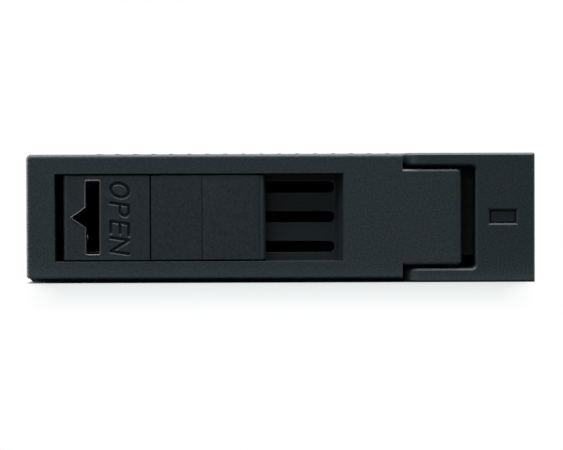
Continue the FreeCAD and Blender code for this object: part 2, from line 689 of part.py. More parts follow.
def latch_cover():
    """Plate over the latch works, rounded towards the finger recess, with four staked tabs."""
    plate = block((PLATE_LEFT, PLATE_RIGHT), (PLATE_FRONT, PLATE_BACK), about(DOOR_MID, PLATE_HALF))
    plate = plate.makeFillet(PLATE_ROUND, edges_where(
        plate, lambda box: box.YMax < PLATE_FRONT + NEAR and box.XMin > PLATE_RIGHT - NEAR))
    stake_end = POCKET_BACK + STAKE_HIGH
    tabs = cover_tabs((PLATE_BACK - INTO, stake_end), 0)
    return joined([plate] + tabs + cover_tabs((POCKET_BACK, stake_end), STAKE_GROW))


def latch_spring():
    """Coil spring along X: a five-sided wire swept along short straight stretches of its helix."""
    start = SPRING_LEFT + SPRING_WIRE / 2 + BORE_GAP
    length = SPRING_RIGHT - SPRING_WIRE / 2 - BORE_GAP - start
    count = SPRING_TURNS * SPRING_SIDES
    path = []
    for number in range(count + 1):
        turn = 2 * math.pi * number / SPRING_SIDES
        y = SPRING_Y + SPRING_R * math.cos(turn)
        z = DOOR_MID + SPRING_R * math.sin(turn)
        path.append(vector((start + length * number / count, y, z)))
    wire = many_sided(WIRE_SIDES, SPRING_WIRE / 2, path[0], path[1])
    section = min(wire.Faces, key=lambda face: (face.CenterOfMass - path[0]).Length).OuterWire
    return Part.makePolygon(path).makePipeShell([section], True, False, 1)


def hinge_pin():
    """Steel pin through the fork's arms and the tongue."""
    return rod(PIN_R, (PIN_X, PIN_Y, PIN_BOTTOM), (PIN_X, PIN_Y, PIN_TOP))


def light_pipe():
    """Clear moulding: lens in the pillar's window, flange behind it, and a rod to the lamp."""
    lens_x = about(LIGHT_X, LIGHT_WINDOW_WIDE / 2 - LENS_GAP)
    lens_z = about(DOOR_MID, LIGHT_WINDOW_HIGH / 2 - LENS_GAP)
    flange_y = (FRONT + PILLAR_WALL, FRONT + PILLAR_WALL + FLANGE_THICK)
    lens = block(lens_x, (FRONT + LENS_SET_BACK, flange_y[1]), lens_z)
    flange = block(about(LIGHT_X, LIGHT_WINDOW_WIDE / 2 + FLANGE_GROW), flange_y,
                   about(DOOR_MID, LIGHT_WINDOW_HIGH / 2 + FLANGE_GROW))
    left, right = about(LIGHT_X, PIPE_WIDE / 2)
    low, high = about(DOOR_MID, PIPE_WIDE / 2)
    turn = PIPE_REAR - PIPE_WIDE
    side = [(flange_y[0], low), (turn, low), (turn, PIPE_FOOT), (PIPE_REAR, PIPE_FOOT),
            (PIPE_REAR, low), (turn, high), (flange_y[0], high)]
    return joined([lens, flange, prism([(left, y, z) for y, z in side], (right - left, 0, 0))])


def adapter_board():
    """Circuit board with its screw holes."""
    board = prism([(x, y, BOARD_Z) for x, y in BOARD_OUTLINE], (0, 0, BOARD_THICK))
    for x, y in BOARD_SCREWS:
        board = board.cut(rod(BOARD_SCREW_R + FASTENER_GAP, (x, y, 0), (x, y, BOARD_TOP + PAST)))
    return board


def contact_places(middle):
    """Places of the power contacts, then the signal contacts, across a connector."""
    power_span = (POWER_COUNT - 1) * CONTACT_PITCH
    signal_span = (SIGNAL_COUNT - 1) * CONTACT_PITCH
    first = middle - (power_span + GROUP_GAP + signal_span) / 2
    power = steps(first, CONTACT_PITCH, POWER_COUNT)
    return power, steps(power[-1] + GROUP_GAP, CONTACT_PITCH, SIGNAL_COUNT)


def contact_strips(middle, side):
    """One bent strip for each contact, from its outline in the YZ plane."""
    strips = []
    for group in contact_places(middle):
        for x in group:
            left = x - CONTACT_WIDE / 2
            strips.append(prism([(left, y, z) for y, z in side], (CONTACT_WIDE, 0, 0)))
    return Part.makeCompound(strips)


def contact_slots(middle, y, z):
    """Cutters that clear one slot for each group of contact strips."""
    slots = []
    for group in contact_places(middle):
        slots.append(block((group[0] - CONTACT_WIDE / 2, group[-1] + CONTACT_WIDE / 2), y, z))
    return slots


def socket_contacts():
    """Strips along the roof of the socket's slots, bent down to the board behind it."""
    roof = CONNECTOR_Z + SOCKET_SLOT / 2
    under = roof - CONTACT_THICK
    heel = SOCKET_REAR + CONTACT_THICK
    toe = heel + FOOT_LONG
    instep = BOARD_TOP + CONTACT_THICK
    end = SOCKET_FRONT + PAST
    side = [(end, roof), (heel, roof), (heel, instep), (toe, instep), (toe, BOARD_TOP),
            (SOCKET_REAR, BOARD_TOP), (SOCKET_REAR, under), (end, under)]
    return contact_strips(SOCKET_X, side)


def drive_socket():
    """Receptacle for the drive: a slot with a key notch for each contact group."""
    body = block(about(SOCKET_X, SOCKET_HALF), (SOCKET_FRONT, SOCKET_REAR), (BOARD_TOP, SOCKET_TOP))
    deep = (SOCKET_FRONT - PAST, SOCKET_FRONT + SOCKET_DEPTH)
    for group in contact_places(SOCKET_X):
        slot = (group[0] - CONTACT_PITCH, group[-1] + CONTACT_PITCH)
        body = body.cut(block(slot, deep, about(CONNECTOR_Z, SOCKET_SLOT / 2)))
        key = (slot[1] - SOCKET_KEY, slot[1])
        body = body.cut(block(key, deep, (CONNECTOR_Z - SOCKET_SLOT / 2 - SOCKET_KEY, CONNECTOR_Z)))
    roof = CONNECTOR_Z + SOCKET_SLOT / 2
    for slot in contact_slots(SOCKET_X, (deep[1] - INTO, SOCKET_REAR), (roof - CONTACT_THICK, roof)):
        body = body.cut(slot)
    return body


def plug_contacts():
    """Strips on top of the plug's blades, bent down to the board in front of it."""
    top = CONNECTOR_Z + PLUG_BLADE / 2
    under = top - CONTACT_THICK
    heel = PLUG_FRONT - CONTACT_THICK
    toe = heel - FOOT_LONG
    instep = BOARD_TOP + CONTACT_THICK
    end = PLUG_END - PAST
    side = [(end, top), (heel, top), (heel, instep), (toe, instep), (toe, BOARD_TOP),
            (PLUG_FRONT, BOARD_TOP), (PLUG_FRONT, under), (end, under)]
    return contact_strips(PLUG_X, side)


def host_plug():
    """Plug in the rear wall: two keyed blades between guide arms, on a flange behind the wall's window."""
    flange_x = about(PLUG_X, PLUG_FLANGE_HALF)
    parts = [block(flange_x, (PLUG_FRONT, PLUG_BASE), (BOARD_TOP, PLUG_FLANGE_TOP))]
    reach = (PLUG_BASE - PAST, PLUG_END)
    under = CONNECTOR_Z - PLUG_BLADE / 2
    for group in contact_places(PLUG_X):
        blade = (group[0] - CONTACT_PITCH / 2, group[-1] + CONTACT_PITCH / 2)
        parts.append(block(blade, reach, about(CONNECTOR_Z, PLUG_BLADE / 2)))
        key = (blade[1] - SOCKET_KEY + LIP_GAP, blade[1])
        parts.append(block(key, reach, (under - SOCKET_KEY, CONNECTOR_Z)))
    for middle in about(PLUG_X, PLUG_HALF - PLUG_ARM / 2):
        parts.append(block(about(middle, PLUG_ARM / 2), reach, (BOARD_TOP, PLUG_TOP)))
    plug = joined(parts)
    top = CONNECTOR_Z + PLUG_BLADE / 2
    for slot in contact_slots(PLUG_X, (PLUG_FRONT, PLUG_END - PAST), (top - CONTACT_THICK, top)):
        plug = plug.cut(slot)
    return plug


def on_board(place, size):
    """Small block that stands on the board."""
    x, y = place
    wide, long, high = size
    return block(about(x, wide / 2), about(y, long / 2), (BOARD_TOP, BOARD_TOP + high))


def status_led():
    """Lamp under the foot of the light pipe."""
    return on_board((LIGHT_X, PIPE_REAR - PIPE_WIDE / 2), LAMP_SIZE)


def board_capacitors():
    """Supply capacitors of the board."""
    return Part.makeCompound([on_board(place, CAPACITOR_SIZE) for place in CAPACITORS])


def led_resistor():
    """Series resistor of the lamp."""
    return on_board(RESISTOR_AT, RESISTOR_SIZE)


def screw(x, y, shank_r, shank, head_r, head):
    """Screw with a flat round head; an eight-sided shank stands for its thread."""
    stem = many_sided(SHANK_SIDES, shank_r, (x, y, shank[0]), (x, y, shank[1]))
    return joined([stem, rod(head_r, (x, y, head[0]), (x, y, head[1]))])


def board_screws():
    """Screws that hold the board to its standoffs."""
    head = (BOARD_TOP, BOARD_TOP + BOARD_HEAD_HIGH)
    shank = (BOARD_SCREW_END, head[1])
    screws = [screw(x, y, BOARD_SCREW_R, shank, BOARD_HEAD_R, head) for x, y in BOARD_SCREWS]
    return Part.makeCompound(screws)


def case_screws():
    """Screws that hold the cover to the base shell, with their heads sunk in the underside."""
    head = (CASE_HEAD_LOW, CASE_HEAD_HIGH)
    shank = (CASE_HEAD_LOW, CASE_SCREW_TOP)
    screws = [screw(x, y, CASE_SCREW_R, shank, CASE_HEAD_R, head) for x, y in CASE_SCREWS]
    return Part.makeCompound(screws)


PARTS = {
    "base_shell": base_shell,
    "top_cover": top_cover,
    "front_door": front_door,
    "latch_slider": latch_slider,
    "latch_cover": latch_cover,
    "latch_spring": latch_spring,
    "hinge_pin": hinge_pin,
    "light_pipe": light_pipe,
    "adapter_board": adapter_board,
    "drive_socket": drive_socket,
    "drive_socket_contacts": socket_contacts,
    "host_plug": host_plug,
    "host_plug_contacts": plug_contacts,
    "status_led": status_led,
    "led_resistor": led_resistor,
    "board_capacitors": board_capacitors,
    "board_screws": board_screws,
    "case_screws": case_screws,
    "side_inserts": lambda: bushes(side_bush_places()),
    "bottom_inserts": lambda: bushes(bottom_bush_places()),
}

os.makedirs("parts", exist_ok=True)
for name, make in PARTS.items():
    shape = make()
    shape.exportStep("parts/" + name + ".step")
    state = "valid" if shape.isValid() else "NOT VALID"
    print(name, state, len(shape.Solids), "solids", round(shape.Volume, 1), "mm3")
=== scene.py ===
# %% [markdown]
# # A drive bay adapter, dressed for its portrait
#
# The object is a flat box of charcoal plastic with the outline of a 3.5-inch drive. Its front is a
# hinged door with a sliding latch, and behind the door is a bay for a 2.5-inch drive. The solids were
# drawn in a CAD program and arrive here as a fixed frame. They could be drawn again in Blender, but
# then sizes and hinges would drift from the drawing. So this lesson keeps them, gives them their
# finishes, cuts the fine detail that CAD leaves out, and takes the photograph.

# %% Load the frame
import bpy
import bmesh
import json
import math
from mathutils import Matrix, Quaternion, Vector


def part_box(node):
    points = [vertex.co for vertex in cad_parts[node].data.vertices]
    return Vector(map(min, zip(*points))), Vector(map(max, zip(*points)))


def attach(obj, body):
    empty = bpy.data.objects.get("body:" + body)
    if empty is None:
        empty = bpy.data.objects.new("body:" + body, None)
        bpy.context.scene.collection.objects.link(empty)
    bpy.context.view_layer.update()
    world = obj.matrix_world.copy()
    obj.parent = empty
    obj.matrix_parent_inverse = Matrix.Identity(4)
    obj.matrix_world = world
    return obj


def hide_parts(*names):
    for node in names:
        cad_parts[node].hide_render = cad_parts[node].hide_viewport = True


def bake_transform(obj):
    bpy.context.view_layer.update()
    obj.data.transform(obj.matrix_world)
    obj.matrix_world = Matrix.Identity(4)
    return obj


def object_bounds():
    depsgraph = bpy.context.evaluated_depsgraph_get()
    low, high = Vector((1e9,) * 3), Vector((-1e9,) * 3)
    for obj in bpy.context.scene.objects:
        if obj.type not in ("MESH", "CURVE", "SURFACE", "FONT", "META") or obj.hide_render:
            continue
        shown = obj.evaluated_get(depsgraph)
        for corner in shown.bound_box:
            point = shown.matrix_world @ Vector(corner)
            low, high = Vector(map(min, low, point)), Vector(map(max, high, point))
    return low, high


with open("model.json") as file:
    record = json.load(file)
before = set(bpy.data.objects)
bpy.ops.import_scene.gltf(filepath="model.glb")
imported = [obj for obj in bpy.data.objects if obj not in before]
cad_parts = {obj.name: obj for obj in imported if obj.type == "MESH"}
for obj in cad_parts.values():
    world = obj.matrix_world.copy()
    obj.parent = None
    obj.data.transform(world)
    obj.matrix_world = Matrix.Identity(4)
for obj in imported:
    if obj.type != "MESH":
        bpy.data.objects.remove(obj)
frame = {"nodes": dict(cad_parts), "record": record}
cad_box = [list(corner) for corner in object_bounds()]
MM = 0.001


def in_mm(box):
    """A box in millimetres, rounded for reading."""
    return [[round(value / MM, 1) for value in corner] for corner in box]


print("nodes:", len(frame["nodes"]), "box in mm:", in_mm(cad_box))

# %% [markdown]
# ## The camera
#
# The photograph was taken straight on with a long lens, from a little above the middle of the
# object, so that its sides vanish and its top is only a thin edge. An orthographic camera would come
# close, but the inner walls of the recess, which the lens just sees, would vanish too. A long lens is
# made by standing back and narrowing the view: the lens follows from the distance and from the width
# that the picture spans at the door's face. The picture leans by a fifth of a degree, so the camera
# does too.

# %% Place the camera
front = cad_box[0][1]
PICTURE_WIDTH = 112.4 * MM
CAMERA_DISTANCE = 500 * MM
CAMERA_HEIGHT = 23 * MM
NEAREST_SEEN = 10 * MM
AIM = Vector((0.21 * MM, front, 11.5 * MM))
ROLL = math.radians(-0.2)


def new_object(name, data):
    """Object that holds some data, put into the scene."""
    thing = bpy.data.objects.new(name, data)
    bpy.context.collection.objects.link(thing)
    return thing


eye = Vector((AIM.x, front - CAMERA_DISTANCE, CAMERA_HEIGHT))
camera_data = bpy.data.cameras.new("camera")
camera_data.lens = camera_data.sensor_width * (AIM - eye).length / PICTURE_WIDTH
camera_data.clip_start = NEAREST_SEEN
camera = new_object("camera", camera_data)
camera.location = eye
camera.rotation_mode = "QUATERNION"
camera.rotation_quaternion = (AIM - eye).to_track_quat("-Z", "Y") @ Quaternion((0, 0, 1), ROLL)
bpy.context.scene.camera = camera
print("lens in mm:", round(camera_data.lens, 1))

# %% [markdown]
# ## Node trees in few words
#
# Every finish below is a small node tree round one Principled shader. Such a tree can be drawn by
# hand in the shader editor, but written down it can be repeated and compared. Two helpers keep the
# cells short: one starts a material, and one adds a node and sets its sockets.

# %% Start a finish
def new_finish(name):
    """An empty material: its node tree and its Principled shader."""
    finish = bpy.data.materials.new(name)
    finish.use_nodes = True
    return finish, finish.node_tree, finish.node_tree.nodes["Principled BSDF"]


def add_node(tree, kind, sockets=None, **settings):
    """A new node with its settings and the values of its input sockets."""
    node = tree.nodes.new("ShaderNode" + kind)
    for setting, value in settings.items():
        setattr(node, setting, value)
    for socket, value in (sockets or {}).items():
        node.inputs[socket].default_value = value
    return node


print("helpers: new_finish, add_node")

# %% [markdown]
# ## Noise that stays put
#
# Moulding, rolling and wear leave every surface a little uneven. A painted image would need a layout
# for each piece, so the unevenness is noise instead. It uses object coordinates, in metres: a grain
# then has the same size on every piece and stays put when a piece moves. Noise keeps near its middle,
# so its range is stretched to the numbers that a finish asks for.

# %% Noise and ranges
NOISE_LOW = 0.3
NOISE_HIGH = 0.7


def noise(tree, size, detail=2.0):
    """Noise whose lumps are about one size across, fixed to the piece that wears it."""
    place = add_node(tree, "TexCoord")
    lumps = add_node(tree, "TexNoise", {"Scale": 1 / size, "Detail": detail})
    tree.links.new(place.outputs["Object"], lumps.inputs["Vector"])
    return lumps.outputs["Fac"]


def stretched(tree, value, start, end, low, high):
    """A value that runs from low to high while another one runs from start to end."""
    sockets = {"From Min": start, "From Max": end, "To Min": low, "To Max": high}
    node = add_node(tree, "MapRange", sockets)
    tree.links.new(value, node.inputs["Value"])
    return node.outputs["Result"]


def spread(tree, value, low, high):
    """A noise value, which stays near its middle, spread between two numbers."""
    return stretched(tree, value, NOISE_LOW, NOISE_HIGH, low, high)


print("noise runs from", NOISE_LOW, "to", NOISE_HIGH)

# %% [markdown]
# ## Colours and bumps
#
# A finish uses noise in two ways: it moves a colour between two shades, and it raises the surface a
# little. A colour ramp could do the first, but a Mix node also takes the output of another mix. It
# keeps sockets for numbers, vectors and colours, so the numbers of its colour sockets are named here.

# %% Mix and emboss
MIX_FIRST = 6
MIX_SECOND = 7
MIX_RESULT = 2


def between(tree, value, first, second):
    """A colour between two colours, each given as numbers or as the output of a node."""
    node = add_node(tree, "Mix", data_type="RGBA")
    tree.links.new(value, node.inputs["Factor"])
    for socket, colour in ((MIX_FIRST, first), (MIX_SECOND, second)):
        if isinstance(colour, tuple):
            node.inputs[socket].default_value = (*colour, 1)
        else:
            tree.links.new(colour, node.inputs[socket])
    return node.outputs[MIX_RESULT]


def scaled(colour, amount):
    """A colour made lighter or darker."""
    return tuple(channel * amount for channel in colour)


def emboss(tree, surface, height, depth, strength=1.0):
    """Bump of one depth from a height value."""
    bump = add_node(tree, "Bump", {"Strength": strength, "Distance": depth})
    tree.links.new(height, bump.inputs["Height"])
    tree.links.new(bump.outputs["Normal"], surface.inputs["Normal"])
    return bump


print("helpers: between, scaled, emboss")

# %% [markdown]
# ## A white room
#
# The object stands in a white studio. A white world would do, but it would also light the object
# from all sides and turn charcoal into grey. A Light Path node tells the rays apart: the room is white
# where the camera, a mirror or a clear part looks at it, and faint where it only lights things.

# %% Light the room
ROOM_LIGHT = 0.1


def calculate(tree, operation, first, second=0.0):
    """One step of arithmetic on a value, with a number or another value."""
    node = add_node(tree, "Math", operation=operation)
    tree.links.new(first, node.inputs[0])
    if isinstance(second, float):
        node.inputs[1].default_value = second
    else:
        tree.links.new(second, node.inputs[1])
    return node.outputs[0]


def seen_or_mirrored(tree):
    """One for rays from the camera, from mirrors and through glass, otherwise nought."""
    ray = add_node(tree, "LightPath").outputs
    seen = calculate(tree, "MAXIMUM", ray["Is Camera Ray"], ray["Is Glossy Ray"])
    return calculate(tree, "MAXIMUM", seen, ray["Is Transmission Ray"])


room = bpy.data.worlds.new("white_room")
room.use_nodes = True
bpy.context.scene.world = room
bpy.context.scene.view_settings.view_transform = "Standard"
tree = room.node_tree
background = tree.nodes["Background"]
background.inputs["Color"].default_value = (1, 1, 1, 1)
strength = stretched(tree, seen_or_mirrored(tree), 0.0, 1.0, ROOM_LIGHT, 1.0)
tree.links.new(strength, background.inputs["Strength"])
print("room lights with", ROOM_LIGHT, "of its white")

# %% [markdown]
# ## Soft box
#
# One large soft box hangs over the object, a little to the left. It draws a bright line along every
# upward edge and leaves hollows dark. A point lamp would draw hard shadows, so it is an area lamp. Its
# brightness is a radiance: a lamp that is made larger then gives more light, but its mirror image stays
# as bright as it was.

# %% Hang the soft box
BOX_WIDE = 1.5
BOX_LONG = 0.8
BOX_HEIGHT = 0.7
BOX_FORWARD = 0.02
BOX_ASIDE = 0.2
BOX_RADIANCE = 7.4


def lamp(name, wide, long, radiance, place, way):
    """Flat rectangular lamp at a place that shines one way and isn't seen itself."""
    panel = bpy.data.lights.new(name, "AREA")
    panel.shape = "RECTANGLE"
    panel.size = wide
    panel.size_y = long
    panel.energy = radiance * math.pi * wide * long
    holder = new_object(name, panel)
    holder.location = place
    holder.rotation_euler = Vector(way).to_track_quat("-Z", "Y").to_euler()
    holder.visible_camera = False
    print(name, "gives", round(panel.energy, 1), "W")


box_place = (-BOX_ASIDE, front - BOX_FORWARD, BOX_HEIGHT)
lamp("soft_box", BOX_WIDE, BOX_LONG, BOX_RADIANCE, box_place, (0, 0, -1))

# %% [markdown]
# ## Two strips
#
# Lit from above alone, the front would be black. A small strip at the left, behind the plane of the
# front, only grazes the left edge. A long weak strip before the object, above and to the left of the
# camera, lights the front itself and looks a little way into the hollows. One strong lamp beside the
# camera could do both, but it would flatten the front and show the bottom of every gap.

# %% Hang the strips
STRIP_SIZE = 0.3
STRIP_ASIDE = 0.6
STRIP_BEHIND = 0.16
STRIP_RADIANCE = 18.0
FILL_WIDE = 1.2
FILL_LONG = 0.15
FILL_AHEAD = 0.85
FILL_HEIGHT = 0.35
FILL_ASIDE = 0.5
FILL_RADIANCE = 3.0

strip_place = (-STRIP_ASIDE, front + STRIP_BEHIND, STRIP_SIZE / 2)
fill_place = (-FILL_ASIDE, front - FILL_AHEAD, FILL_HEIGHT)
fill_way = (FILL_ASIDE, FILL_AHEAD, -FILL_HEIGHT)
lamp("side_strip", STRIP_SIZE, STRIP_SIZE, STRIP_RADIANCE, strip_place, (1, 0, 0))
lamp("front_fill", FILL_WIDE, FILL_LONG, FILL_RADIANCE, fill_place, fill_way)

# %% [markdown]
# ## Black cards
#
# Dark plastic shows what it mirrors, and a white room before it would lie over the front like a veil.
# A darker room would cure that, but lens and metal would lose their highlights too. A photographer
# sets black cards instead: one behind the camera, one on the table before the object, and a small one
# behind the object, which keeps the white out of its inside. Felt makes them darker than card alone.

# %% Felt
FELT_CLOUD = 5 * MM
FELT_DARK = (0.008, 0.008, 0.008)
FELT_LIGHT = (0.016, 0.016, 0.016)

felt, tree, surface = new_finish("black_felt")
shade = between(tree, noise(tree, FELT_CLOUD), FELT_DARK, FELT_LIGHT)
tree.links.new(shade, surface.inputs["Base Color"])
surface.inputs["Roughness"].default_value = 1.0
print("felt:", felt.name)

# %% [markdown]
# ## Set the cards
#
# Each card is one flat face of the studio and no part of the object. Blocks would do too, but only a
# card's face is ever mirrored. The cards are hidden from the camera itself and throw no shadow. The
# rear one is also left out of soft light, so that it darkens mirrors only.

# %% Place the cards
CARD_HALF = 1.3
CARD_HIGH = 1.5
CARD_NEAR = 0.003
CARD_FAR = 1.1
CARD_LIFT = 1 * MM
CARD_BEHIND = 0.002


def flat_sheet(name, corners, finish):
    """Sheet between four corners, in one finish."""
    mesh = bpy.data.meshes.new(name)
    mesh.from_pydata(corners, [], [(0, 1, 2, 3)])
    mesh.materials.append(finish)
    sheet = new_object(name, mesh)
    return sheet


half_wide, half_long, top = cad_box[1]
near_y = front - CARD_NEAR
far_y = front - CARD_FAR
rear_y = half_long + CARD_BEHIND
near_line = [(-CARD_HALF, near_y, CARD_LIFT), (CARD_HALF, near_y, CARD_LIFT)]
far_line = [(CARD_HALF, far_y, CARD_LIFT), (-CARD_HALF, far_y, CARD_LIFT)]
high_line = [(-CARD_HALF, far_y, CARD_HIGH), (CARD_HALF, far_y, CARD_HIGH)]
rear_low = [(-half_wide, rear_y, 0), (half_wide, rear_y, 0)]
rear_high = [(half_wide, rear_y, top), (-half_wide, rear_y, top)]
table_card = flat_sheet("table_card", near_line + far_line, felt)
front_card = flat_sheet("front_card", far_line + high_line, felt)
rear_card = flat_sheet("rear_card", rear_low + rear_high, felt)
rear_card.visible_diffuse = False
for card in (table_card, front_card, rear_card):
    card.visible_camera = False
    card.visible_shadow = False
print("cards:", table_card.name, front_card.name, rear_card.name)

# %% [markdown]
# ## The table's white
#
# The object stands on a white table that keeps its soft shadow. A table lit to full white would need
# so much light that the object would turn grey. So part of its white is its own glow, which only the
# camera and mirrors see. How much is glow goes by the distance from the object's footprint, not by the
# camera, and these helpers measure that distance.

# %% How far from the footprint
# Near the object only this share of the table's white is glow, which paints a shadow before and behind
# it.
OWN_WHITE = 0.68


def coordinates(tree):
    """The three coordinates of a spot on the piece, each as an output."""
    spot = add_node(tree, "SeparateXYZ")
    tree.links.new(add_node(tree, "TexCoord").outputs["Object"], spot.inputs[0])
    return spot.outputs


def outside(tree, size, half):
    """How far a size goes past half a width, and nought within it."""
    return calculate(tree, "MAXIMUM", calculate(tree, "SUBTRACT", size, half), 0.0)


def own_share(tree, distance, near, far):
    """Share of the white that is glow, which grows to all of it from a near to a far distance."""
    return stretched(tree, distance, near, far, OWN_WHITE, 1.0)


print("least share of glow:", OWN_WHITE)

# %% [markdown]
# ## Pale laminate
#
# The table is a dull laminate of a cool grey. Before and behind the object a third of its white is
# light that really falls on it, so that its real shadow shows. There the glow is also weaker than
# further out, which paints a darker band that narrows and fades away from the object: a painted
# shadow over the real one, tinted by the laminate's cool tone. Further out and beside the object the
# glow grows to the plain white of the room, so that no horizon is seen. Under the object there is no
# glow at all, which paints its shade darker than the real shadow alone. A shadow catcher would keep
# the shadow too, but it needs a compositor to lay it over white.

# %% Table finish
TABLE_TONE = (0.165, 0.2, 0.202)
TABLE_CLOUD = 2 * MM
TABLE_MOTTLE = 0.01
TABLE_ROUGH = 0.5
SHADOW_NEAR = 0.02
SHADOW_FAR = 0.10
SHADOW_SIDE = 0.003
SHADOW_SOFT = 0.15
SHADOW_TAPER = 0.1
FOOTPRINT_EDGE = 0.01 * MM

laminate, tree, surface = new_finish("pale_laminate")
tone = between(tree, noise(tree, TABLE_CLOUD), scaled(TABLE_TONE, 1 - TABLE_MOTTLE),
               scaled(TABLE_TONE, 1 + TABLE_MOTTLE))
tree.links.new(tone, surface.inputs["Base Color"])
surface.inputs["Roughness"].default_value = TABLE_ROUGH
spot = coordinates(tree)
aside = calculate(tree, "ABSOLUTE", spot["X"])
ahead = outside(tree, calculate(tree, "ABSOLUTE", spot["Y"]), half_long)
narrowed = calculate(tree, "ADD", aside, calculate(tree, "MULTIPLY", ahead, SHADOW_TAPER))
softness = calculate(tree, "ADD", calculate(tree, "MULTIPLY", ahead, SHADOW_SOFT), SHADOW_SIDE)
edge = calculate(tree, "DIVIDE", calculate(tree, "SUBTRACT", narrowed, half_wide), softness)
# Painted shadow: less glow near the footprint, in a band that narrows and softens away from it, and none
# under the object.
share = calculate(tree, "MAXIMUM", own_share(tree, edge, -1.0, 0.0),
                  own_share(tree, ahead, SHADOW_NEAR, SHADOW_FAR))
distance = calculate(tree, "MAXIMUM", outside(tree, aside, half_wide), ahead)
share = calculate(tree, "MULTIPLY", share, calculate(tree, "GREATER_THAN", distance, FOOTPRINT_EDGE))
glow = add_node(tree, "Emission", {"Color": (1, 1, 1, 1), "Strength": 1.0})
both = add_node(tree, "MixShader")
tree.links.new(calculate(tree, "MULTIPLY", share, seen_or_mirrored(tree)), both.inputs[0])
tree.links.new(surface.outputs[0], both.inputs[1])
tree.links.new(glow.outputs[0], both.inputs[2])
tree.links.new(both.outputs[0], tree.nodes["Material Output"].inputs["Surface"])
print("table finish:", laminate.name)

# %% [markdown]
# ## The table top
#
# A studio table curves up behind the object, so that no edge shows. Here the glow already meets the
# white of the room, so one large flat face does. It lies a hair below the object, because two faces
# in one plane would fight over each pixel.

# %% Table top
TABLE_HALF = 4.0
TABLE_GAP = 0.02 * MM

table_corners = [(-TABLE_HALF, -TABLE_HALF, 0), (TABLE_HALF, -TABLE_HALF, 0),
                 (TABLE_HALF, TABLE_HALF, 0), (-TABLE_HALF, TABLE_HALF, 0)]
pale_table = flat_sheet("pale_table", table_corners, laminate)
pale_table.location.z = cad_box[0][2] - TABLE_GAP
print("table at", round(pale_table.location.z / MM, 2), "mm")

# %% [markdown]
# ## Painted shade in the recess
#
# The finger recess gets a painted shade: its colour is darker and more even than the face round it,
# standing in for the shade that falls into it. It could be painted face by face, but the door is one
# mesh. So the finish itself asks where a spot lies: a Compare step gives one where a coordinate lies
# near a middle, and three of them make a box. The box comes from the opening that the record states
# for the recess.

# %% A box that a finish can feel
POCKET_RIM = 0.4 * MM
POCKET_SPARE = 2 * MM


def near(tree, value, middle, reach):
    """One where a value lies within reach of a middle, otherwise nought."""
    node = add_node(tree, "Math", {1: middle, 2: reach}, operation="COMPARE")
    tree.links.new(value, node.inputs[0])
    return node.outputs[0]


def inside(tree, low, high):
    """One inside a box that is fixed to the piece, otherwise nought."""
    spot = coordinates(tree)
    along = [near(tree, spot[axis], (first + last) / 2, (last - first) / 2)
             for axis, first, last in zip("XYZ", low, high)]
    return calculate(tree, "MULTIPLY", calculate(tree, "MULTIPLY", along[0], along[1]), along[2])


openings = {opening["name"]: opening["box_m"] for opening in frame["record"]["physics"]["openings"]}
recess_low, recess_high = openings["finger_recess"]
# The box of the painted shade in the recess: its opening, a little wider, from just behind the front.
painted_shade_low = [recess_low[0] - POCKET_SPARE, front + POCKET_RIM, recess_low[2] - POCKET_SPARE]
painted_shade_high = [recess_high[0] + POCKET_SPARE, recess_high[1] + POCKET_RIM, recess_high[2] + POCKET_SPARE]
print("pocket in mm:", in_mm([painted_shade_low, painted_shade_high]))

# %% [markdown]
# ## Moulded plastic
#
# The shells, door and latch are charcoal plastic. Its steel mould was spark-eroded, which leaves a
# fine matte grain of shallow pits, each a few tenths of a millimetre across. The pits are bump,
# because they are far too many to model. A little noise in the colour and in the roughness keeps large
# faces from looking painted. A Bevel node turns the light softly over edges that CAD left sharp, where
# a modelled rounding would cost many faces.

# %% Charcoal plastic
GRAIN_SIZE = 0.4 * MM
GRAIN_DETAIL = 1.0
GRAIN_DEPTH = 0.03 * MM
MOTTLE_SIZE = 0.42 * MM
MOTTLE_DETAIL = 3.0
MOTTLE_SHARE = 0.35
CLOUD_SIZE = 14 * MM
CLOUD_SWING = 0.03
EDGE_R = 0.12 * MM
EDGE_SAMPLES = 4
# Painted shade: inside the recess box the door's colour drops to this share of its shade.
POCKET_PAINTED_SHADE = 0.6


def moulded_plastic(name, shade, roughness, shine, grain=1.0, painted_shade_box=None):
    """Spark-eroded plastic of one shade, with a painted shade that makes it darker and more even inside
    a box.
    """
    finish, tree, surface = new_finish(name)
    mottle = spread(tree, noise(tree, MOTTLE_SIZE, MOTTLE_DETAIL), 0.0, 1.0)
    colour = between(tree, mottle, scaled(shade, 1 - MOTTLE_SHARE), scaled(shade, 1 + MOTTLE_SHARE))
    # Painted shade: inside the box the mottled colour gives way to a darker, even one.
    if painted_shade_box:
        colour = between(tree, inside(tree, *painted_shade_box), colour, scaled(shade, POCKET_PAINTED_SHADE))
    tree.links.new(colour, surface.inputs["Base Color"])
    clouds = spread(tree, noise(tree, CLOUD_SIZE), roughness - CLOUD_SWING, roughness + CLOUD_SWING)
    tree.links.new(clouds, surface.inputs["Roughness"])
    surface.inputs["Specular IOR Level"].default_value = shine
    pits = emboss(tree, surface, noise(tree, GRAIN_SIZE, GRAIN_DETAIL), GRAIN_DEPTH, grain)
    worn = add_node(tree, "Bevel", {"Radius": EDGE_R}, samples=EDGE_SAMPLES)
    tree.links.new(worn.outputs["Normal"], pits.inputs["Normal"])
    return finish


print("grain in mm:", round(GRAIN_SIZE / MM, 2))

# %% [markdown]
# ## Three shades
#
# Shells, door and latch come from separate moulds, and their charcoal isn't quite the same. One shade
# for all would let the front look like one piece. The latch's mould was finished more finely, so the
# latch has less grain and a little more shine.

